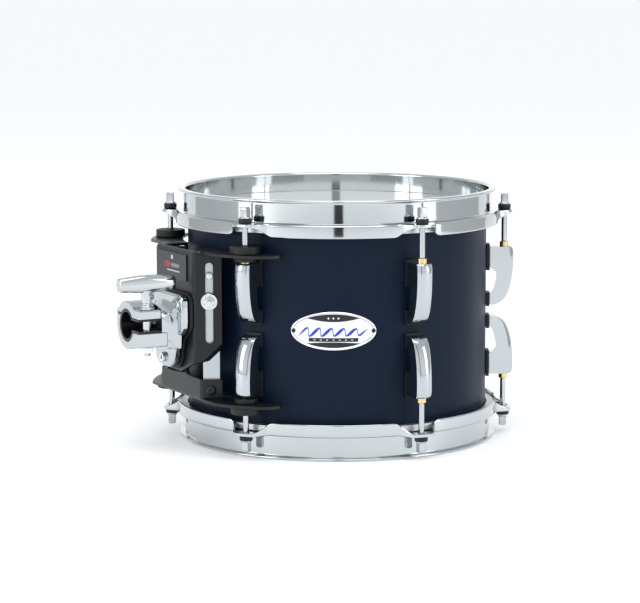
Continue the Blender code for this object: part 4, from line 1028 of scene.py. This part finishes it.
def closed_through(points, steps):
    """A smooth closed line through points."""
    count = len(points)
    result = []
    for i in range(count):
        a, b, c, d = (Vector(points[(i + k) % count]) for k in (-1, 0, 1, 2))
        for k in range(steps):
            t = k / steps
            along = 2 * b + (c - a) * t + (2 * a - 5 * b + 4 * c - d) * t * t
            result.append(tuple((along + (3 * b - a - 3 * c + d) * t**3) / 2))
    return result


def shield(grow=0.0):
    right = [(0, 25.9), (24.0, 25.8), (29.6, 24.9), (33.6, 21.8), (34.6, 16.0), (34.6, 2.5), (33.0, -3.4)]
    right += [(23.8, -10.2), (20.4, -17.0), (18.8, -24.0), (16.6, -30.0), (13.0, -33.9), (8.5, -35.8)]
    outline = [(y * MM, z * MM) for y, z in right]
    outline += [(0, -36.2 * MM)] + [(-y, z) for y, z in reversed(outline[1:])]
    return [(y * (1 + grow / 30), z * (1 + grow / 30)) for y, z in closed_through(outline, 3)]


def knuckle(i, grow=0.0):
    first, width = CLAMP_X + 2.2 * MM, 15.1 * MM / 3
    start, end = first + width * i + 0.15 * MM, first + width * (i + 1) - 0.15 * MM
    ends = (start - grow, end + grow)
    return round_x(3.8 * MM + grow, HINGE_Y, HINGE_Z, *ends, 32)


def bolt_bore(radius, low, high):
    bore = stacked([(radius, MIDDLE_Z + low), (radius, MIDDLE_Z + high)], 32)
    return moved(bore, Matrix.Translation((BOLT_X, BOLT_Y, 0)))


def ring_bores():
    bore = round_x(CLAMP_BORE, 0, 0, CLAMP_X - 5 * MM, JAW_BACK_X + 7 * MM, 96)
    pin = round_x(1.9 * MM, HINGE_Y, HINGE_Z, CLAMP_X - 3 * MM, JAW_BACK_X + 1 * MM, 24)
    return [("DIFFERENCE", bore), ("DIFFERENCE", pin)]


# %% Make the casting
BASE_SCREWS = ((-27.5 * MM, 18.4 * MM), (27.5 * MM, 18.4 * MM), (0.0, -28.6 * MM))


def neck():
    """Flares from behind the ring to the base, drawn in above and below."""
    reach = LUG_REACH / MM - 1.5
    outline = [(-reach, -13), (-reach + 3, -16.6), (-10, -18.6), (0, -19.0), (10, -17.2), (16.5, -11.5)]
    outline += [(19.5, 0), (17.5, 9.5), (11, 15.6), (0, 17.6), (-10, 17.0), (-reach + 4, 15.4), (-reach, 11)]
    outline = closed_through([(y * MM, z * MM) for y, z in outline], 4)
    start, end = JAW_BACK_X + 1.2 * MM, BASE_FACE_X + 3 * MM
    rings = []
    for i in range(9):
        share = i / 8
        wide = 1 + 0.16 * smooth(share) ** 2
        tall = 1 - 0.30 * math.sin(math.pi * min(share * 1.3, 1)) + 0.14 * smooth(share) ** 2
        x = start + (end - start) * share
        rings.append([(x, y * wide, MIDDLE_Z + z * tall) for y, z in outline])
    return loft(rings)


def lower_half():
    back = HINGE_Z - SLIT / 2
    lug, top, low = -LUG_REACH, -4.4 * MM, -16.2 * MM
    ledge = [(lug, top)] + arc(lug + 1.6 * MM, low + 1.6 * MM, 1.6 * MM, 180, 262, 4)
    ring = arc(0, 0, CLAMP_R, 236, 360 + math.degrees(math.asin(back / CLAMP_R)), 40)
    return along_x(ledge + ring + [(8 * MM, back), (0, 0), (-8 * MM, top)], CLAMP_X, JAW_BACK_X + 6 * MM)


def screw_frame(y, z):
    """Carries Z onto -X at a screw in the base."""
    return Matrix.Translation((BASE_FACE_X, y, MIDDLE_Z + z)) @ Matrix.Rotation(-math.pi / 2, 4, "Y")


def casting():
    base = bevelled(along_x(shield(), BASE_X, BASE_FACE_X), 1.9 * MM, 4, 50)
    boss = [(5.4 * MM, -3 * MM), (5.2 * MM, 0.6 * MM), (5.0 * MM, 0.8 * MM)]
    sunk = Matrix.Translation((0, 0, -0.6 * MM))
    bosses = [moved(stacked(boss, 32), screw_frame(y, z) @ sunk) for y, z in BASE_SCREWS]
    half = bevelled(lower_half(), 0.9 * MM, 3, 50)
    additions = (neck(), half, *bosses, knuckle(0), knuckle(2))
    body = combined(base, [("UNION", part) for part in additions])
    drill = stacked([(2.3 * MM, -20 * MM), (2.3 * MM, 4 * MM)], 24)
    holes = [moved(drill, screw_frame(y, z)) for y, z in BASE_SCREWS]
    nut_bore = bolt_bore(3.6 * MM, -22 * MM, 1 * MM)
    cuts = [("DIFFERENCE", knuckle(1, 0.6 * MM)), *ring_bores(), ("DIFFERENCE", nut_bore)]
    return combined(body, cuts + [("DIFFERENCE", hole) for hole in holes])


casting_shape = casting()
place("clamp_casting_polished", casting_shape, CAST_CHROME, "drum", "chrome", None, ["clamp_casting"])
print("casting faces:", len(casting_shape.polygons))


# %% Make the jaw, its sleeve and pin
def jaw():
    back = HINGE_Z + SLIT / 2
    lug, top, low = -LUG_REACH, 14.4 * MM, 7.1 * MM
    ring = arc(0, 0, CLAMP_R, math.degrees(math.asin(back / CLAMP_R)), 128, 30)
    boss = arc(lug + 1.4 * MM, top - 1.4 * MM, 1.4 * MM, 90, 180, 4)
    outline = ring + [(-13.4 * MM, top)] + boss + [(lug, low), (-8 * MM, low), (0, low), (8 * MM, back)]
    block = bevelled(along_x(outline, CLAMP_X, JAW_BACK_X), 0.9 * MM, 3, 50)
    block = combined(block, [("UNION", knuckle(1))])
    cuts = [("DIFFERENCE", knuckle(i, 0.6 * MM)) for i in (0, 2)] + ring_bores()
    return combined(block, [*cuts, ("DIFFERENCE", bolt_bore(3.8 * MM, 2 * MM, 20 * MM))])


def sleeve():
    outer, inner, lip = CLAMP_BORE - 0.3 * MM, 11.1 * MM, 1.5 * MM
    top, low = 6.8 * MM, -4.1 * MM
    reach = -LUG_REACH + 1 * MM
    start, end = math.degrees(math.asin(top / outer)), math.degrees(math.asin(-low / outer))
    outline = arc(0, 0, outer, 180 - start, -180 + end, 60)
    outline += [(reach, low), (reach, low + lip)]
    start, end = math.degrees(math.asin((top - lip) / inner)), math.degrees(math.asin(-(low + lip) / inner))
    outline += arc(0, 0, inner, -180 + end, 180 - start, 60) + [(reach, top - lip), (reach, top)]
    lining = along_x(outline, CLAMP_X, JAW_BACK_X + 0.5 * MM)
    return combined(lining, [("DIFFERENCE", bolt_bore(3.8 * MM, -10 * MM, 12 * MM))])


place("clamp_jaw_polished", jaw(), CAST_CHROME, "jaw_body", "chrome", None, ["clamp_jaw"])
place("clamp_sleeve_nylon", sleeve(), PLASTIC, "drum", "black_plastic", None, ["clamp_sleeve"])
pin_ends = (CLAMP_X + 0.7 * MM, CLAMP_X + 17.3 * MM)
pin = bevelled(round_x(1.6 * MM, HINGE_Y, HINGE_Z, *pin_ends, 32), 0.3 * MM, 2, 50)
place("clamp_hinge_pin_turned", pin, BRIGHT, "drum", "bright_steel", None, ["clamp_hinge_pin"])
pad = bevelled(along_x(shield(1.2), FRONT_X - 0.3 * MM, FRONT_X - 2.7 * MM), 0.5 * MM, 2, 50)
place("clamp_base_gasket", pad, RUBBER, "drum", "black_rubber", None, ["clamp_base_pad"])

# %% [markdown]
# ## Wing bolt
#
# The drummer's hand tightens the clamp by a T-handle, so it is the roundest piece here: an oval
# barrel, fullest in the middle and cut flat at both ends. One loft makes the barrel and another the
# stem, which necks in above the washer. It rides its own body, since it turns and rises.

# %% Make the wing bolt, washer and nut
def wing_bolt():
    barrel = []
    stations = [(1.0, 0.655, 0.70), (0.985, 0.735, 0.79), (0.95, 0.775, 0.83), (0.85, 0.815, 0.87)]
    stations += [(0.65, 0.875, 0.92), (0.4, 0.94, 0.97), (0.2, 0.985, 0.99), (0.05, 1.0, 1.0)]
    both = stations + [(-along, tall, wide) for along, tall, wide in reversed(stations)]
    for along, tall, wide in both:
        ring = []
        for i in range(FINE):
            turn = 2 * math.pi * i / FINE
            y = math.copysign(abs(math.cos(turn)) ** 0.85, math.cos(turn)) * 6.0 * MM * wide
            z = math.copysign(abs(math.sin(turn)) ** 0.85, math.sin(turn)) * 7.4 * MM * tall
            ring.append((along * 24.5 * MM, y, 35.4 * MM + z))
        barrel.append(ring)
    low, high = (-16.2 - 0.3 - 4.4 - 2.5) * MM, 30.0 * MM
    seat = (14.4 + 0.3 + 1.3 + 0.3) * MM
    levels = [(2.2 * MM, low), (2.9 * MM, low + 0.8 * MM), (3.0 * MM, low + 1.2 * MM), (3.0 * MM, seat)]
    beads = ((3.9, 0), (4.1, 0.3), (4.1, 1.6), (3.5, 2.2), (3.5, 3.0), (4.1, 3.6))
    levels += [(radius * MM, seat + rise * MM) for radius, rise in beads] + [(4.1 * MM, 25.5 * MM)]
    levels += [(4.4 * MM, 27.0 * MM), (5.2 * MM, 28.6 * MM), (5.4 * MM, high)]
    bolt = combined(loft(barrel), [("UNION", stacked(levels, FINE))])
    return moved(bolt, Matrix.Translation((BOLT_X, BOLT_Y, MIDDLE_Z)))


def clamp_nut():
    low, high = -16.5 - 4.4, -16.5
    outer = [(4.7, low), (5.0, low + 0.35, True), (5.0, high, True)]
    rings = [ring_at(level[0] * MM, level[1] * MM, len(level) > 2) for level in outer]
    rings += [ring_at(3.3 * MM, high * MM), ring_at(3.3 * MM, low * MM)]
    return loft(list(map(list, zip(*rings))), True)


at_bolt = Matrix.Translation((BOLT_X, BOLT_Y, MIDDLE_Z))
place("wing_bolt_polished", wing_bolt(), CHROME, "wing_bolt_body", "chrome", None, ["wing_bolt"])
washer = collar_ring(3.3 * MM, 5.0 * MM, 14.7 * MM, 16.0 * MM, 0.3 * MM, FINE)
place("wing_bolt_washer_turned", washer, BRIGHT, "washer_body", "bright_steel", at_bolt, ["wing_bolt_washer"])
place("clamp_nut_hexagon", clamp_nut(), BRIGHT, "drum", "bright_steel", at_bolt, ["clamp_nut"])


def cap_screw():
    head = [(2.0, -9.5), (2.0, 0.3), (3.8, 0.3), (4.0, 0.5), (4.0, 2.2), (3.7, 2.6), (1.9, 2.6)]
    return turned_stack(*head, (1.6, 2.4, True), (1.6, 1.0, True))


for i, (y, z) in enumerate(BASE_SCREWS, 1):
    at = screw_frame(y, z)
    place(f"base_screw_{i}_turned", cap_screw(), BRIGHT, "drum", "chrome", at, [f"base_screw_{i}"])


# %% Make the label plate
def label():
    low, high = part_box("label_plate")
    corners = ((low.y, low.z), (high.y, low.z), (high.y, high.z), (low.y, high.z))
    plate = bevelled(loft([[(x, y, z) for y, z in corners] for x in (low.x, high.x)]), 0.3 * MM, 2, 50)
    place("label_plate_smooth", plate, LABEL, "drum", "label", None, ["label_plate"])
    middle = (low.z + high.z) / 2

    def mark(name, outline, material):
        faces = (low.x - 0.08 * MM, low.x + 0.2 * MM)
        shape = loft([[(x, y * MM, middle + z * MM) for y, z in outline] for x in faces])
        place(f"label_{name}", shape, material, "drum", "label")

    def bar_at(y, z, wide, tall):
        end = tall / 2
        right = arc(y + wide / 2 - end, z, end, -90, 90, 6)
        return right + arc(y - wide / 2 + end, z, end, 90, 270, 6)

    mark("dot_red", bar_at(10.5, 0.4, 11.5, 5.2), INK_RED)
    mark("bar_grey", bar_at(-4.5, 0.2, 15.5, 3.0), INK_GREY)
    mark("line_pale", bar_at(-1.0, -4.4, 24.0, 1.1), INK_PALE)
    mark("ring_pale", arc(1.5, 6.6, 1.9, 0, 345, 23), INK_PALE)


label()

# %% [markdown]
# ## Studio
#
# Chrome shows the room more than itself, so the studio is part of the finish. A pale room gives the
# metal its body, big soft lights give it long highlights, and a few dark cards out of view give it
# the dark lines that make it read as polished. The drum stands on its lower rim on a pale floor.

# %% Light the room
def world():
    room = bpy.data.worlds.new("pale_room")
    bpy.context.scene.world = room
    room.use_nodes = True
    tree = room.node_tree
    place_in_room = add_node(tree, "ShaderNodeTexCoord")
    height = add_node(tree, "ShaderNodeSeparateXYZ", None, {"Vector": place_in_room}, 2)
    sky = height.ramp(-0.05, 0.75).mixed((1.20, 1.21, 1.22), (0.76, 0.79, 0.82))
    background = tree.nodes["Background"]
    tree.links.new(sky.socket, background.inputs["Color"])
    background.inputs["Strength"].default_value = 1.0


def facing(place_at, target):
    look = (Vector(target) - Vector(place_at)).to_track_quat("-Z", "Y")
    return Matrix.Translation(place_at) @ look.to_matrix().to_4x4()


def softbox(name, degrees, height, distance, width, tall, power):
    light = bpy.data.lights.new(name, "AREA")
    light.shape = "RECTANGLE"
    light.size = width
    light.size_y = tall
    light.energy = power
    lamp = bpy.data.objects.new(name, light)
    bpy.context.scene.collection.objects.link(lamp)
    lamp.matrix_world = facing(polar(distance, degrees, height), (0, 0, MIDDLE_Z))
    lamp.visible_camera = False


def card(name, degrees, height, distance, width, tall, tone):
    corners = [(-width / 2, -tall / 2), (width / 2, -tall / 2), (width / 2, tall / 2), (-width / 2, tall / 2)]
    sheet = loft([[(x, y, z) for x, y in corners] for z in (0, 0.01)])
    panel = bpy.data.objects.new(name, sheet)
    bpy.context.scene.collection.objects.link(panel)
    panel.matrix_world = facing(polar(distance, degrees, height), (0, 0, MIDDLE_Z))
    sheet.materials.append(Finish(name, (tone, tone, tone), 0.0, 0.9).material)
    panel.visible_camera = False
    panel.visible_shadow = False
    panel.visible_diffuse = False


world()
bpy.context.scene.view_settings.view_transform = "Standard"
VIEW_TURN = -28.667
softbox("key_left", VIEW_TURN - 62, 0.7, 2.2, 1.2, 1.6, 16)
softbox("fill_right", VIEW_TURN + 68, 0.6, 2.4, 1.0, 1.6, 14)
softbox("top", VIEW_TURN + 10, 2.3, 0.5, 1.6, 1.6, 22)
card("dark_card_front", VIEW_TURN + 1, 0.25, 1.25, 0.15, 1.1, 0.02)
card("grey_card_left", VIEW_TURN - 100, 0.25, 1.25, 1.3, 1.1, 0.5)
card("grey_card_right", VIEW_TURN + 100, 0.25, 1.25, 1.3, 1.1, 0.5)
card("dark_line_left", VIEW_TURN - 62, 0.25, 1.15, 0.03, 1.0, 0.02)
card("dark_line_right", VIEW_TURN + 62, 0.25, 1.15, 0.03, 1.0, 0.02)

# %% Lay the floor
floor_finish = Finish("pale_floor", (0.97, 0.97, 0.97), 0.0, 0.6, emission_strength=0.10)
floor_finish.set("Roughness", floor_finish.noise(3.0) * 0.1 + 0.55)
floor_z = cad_low.z
floor_mesh = stacked([(30.0, floor_z - 0.02), (30.0, floor_z)], 64)
floor_mesh.materials.append(floor_finish.material)
floor = bpy.data.objects.new("floor", floor_mesh)
bpy.context.scene.collection.objects.link(floor)

# %% [markdown]
# ## Camera
#
# A long lens two metres away keeps the hoops' ellipses calm. The camera looks down by eight
# degrees, a little to the clamp's side of the front, and a small shift sets the drum in the frame.

# %% Set the camera
VIEW_RISE = 8.146
VIEW_DISTANCE = 2.1088


def camera():
    data = bpy.data.cameras.new("view")
    data.sensor_width = 36
    data.lens = 139.607
    data.shift_x = -0.02677
    data.shift_y = 0.01144
    eye = bpy.data.objects.new("view", data)
    bpy.context.scene.collection.objects.link(eye)
    rise = math.radians(VIEW_RISE)
    back = polar(math.cos(rise), VIEW_TURN, math.sin(rise))
    right = Vector((-back.y, back.x, 0)).normalized()
    turn = Matrix((right, back.cross(right), back)).transposed().to_4x4()
    eye.matrix_world = Matrix.Translation(Vector((0, 0, MIDDLE_Z)) + back * VIEW_DISTANCE) @ turn
    bpy.context.scene.camera = eye


camera()
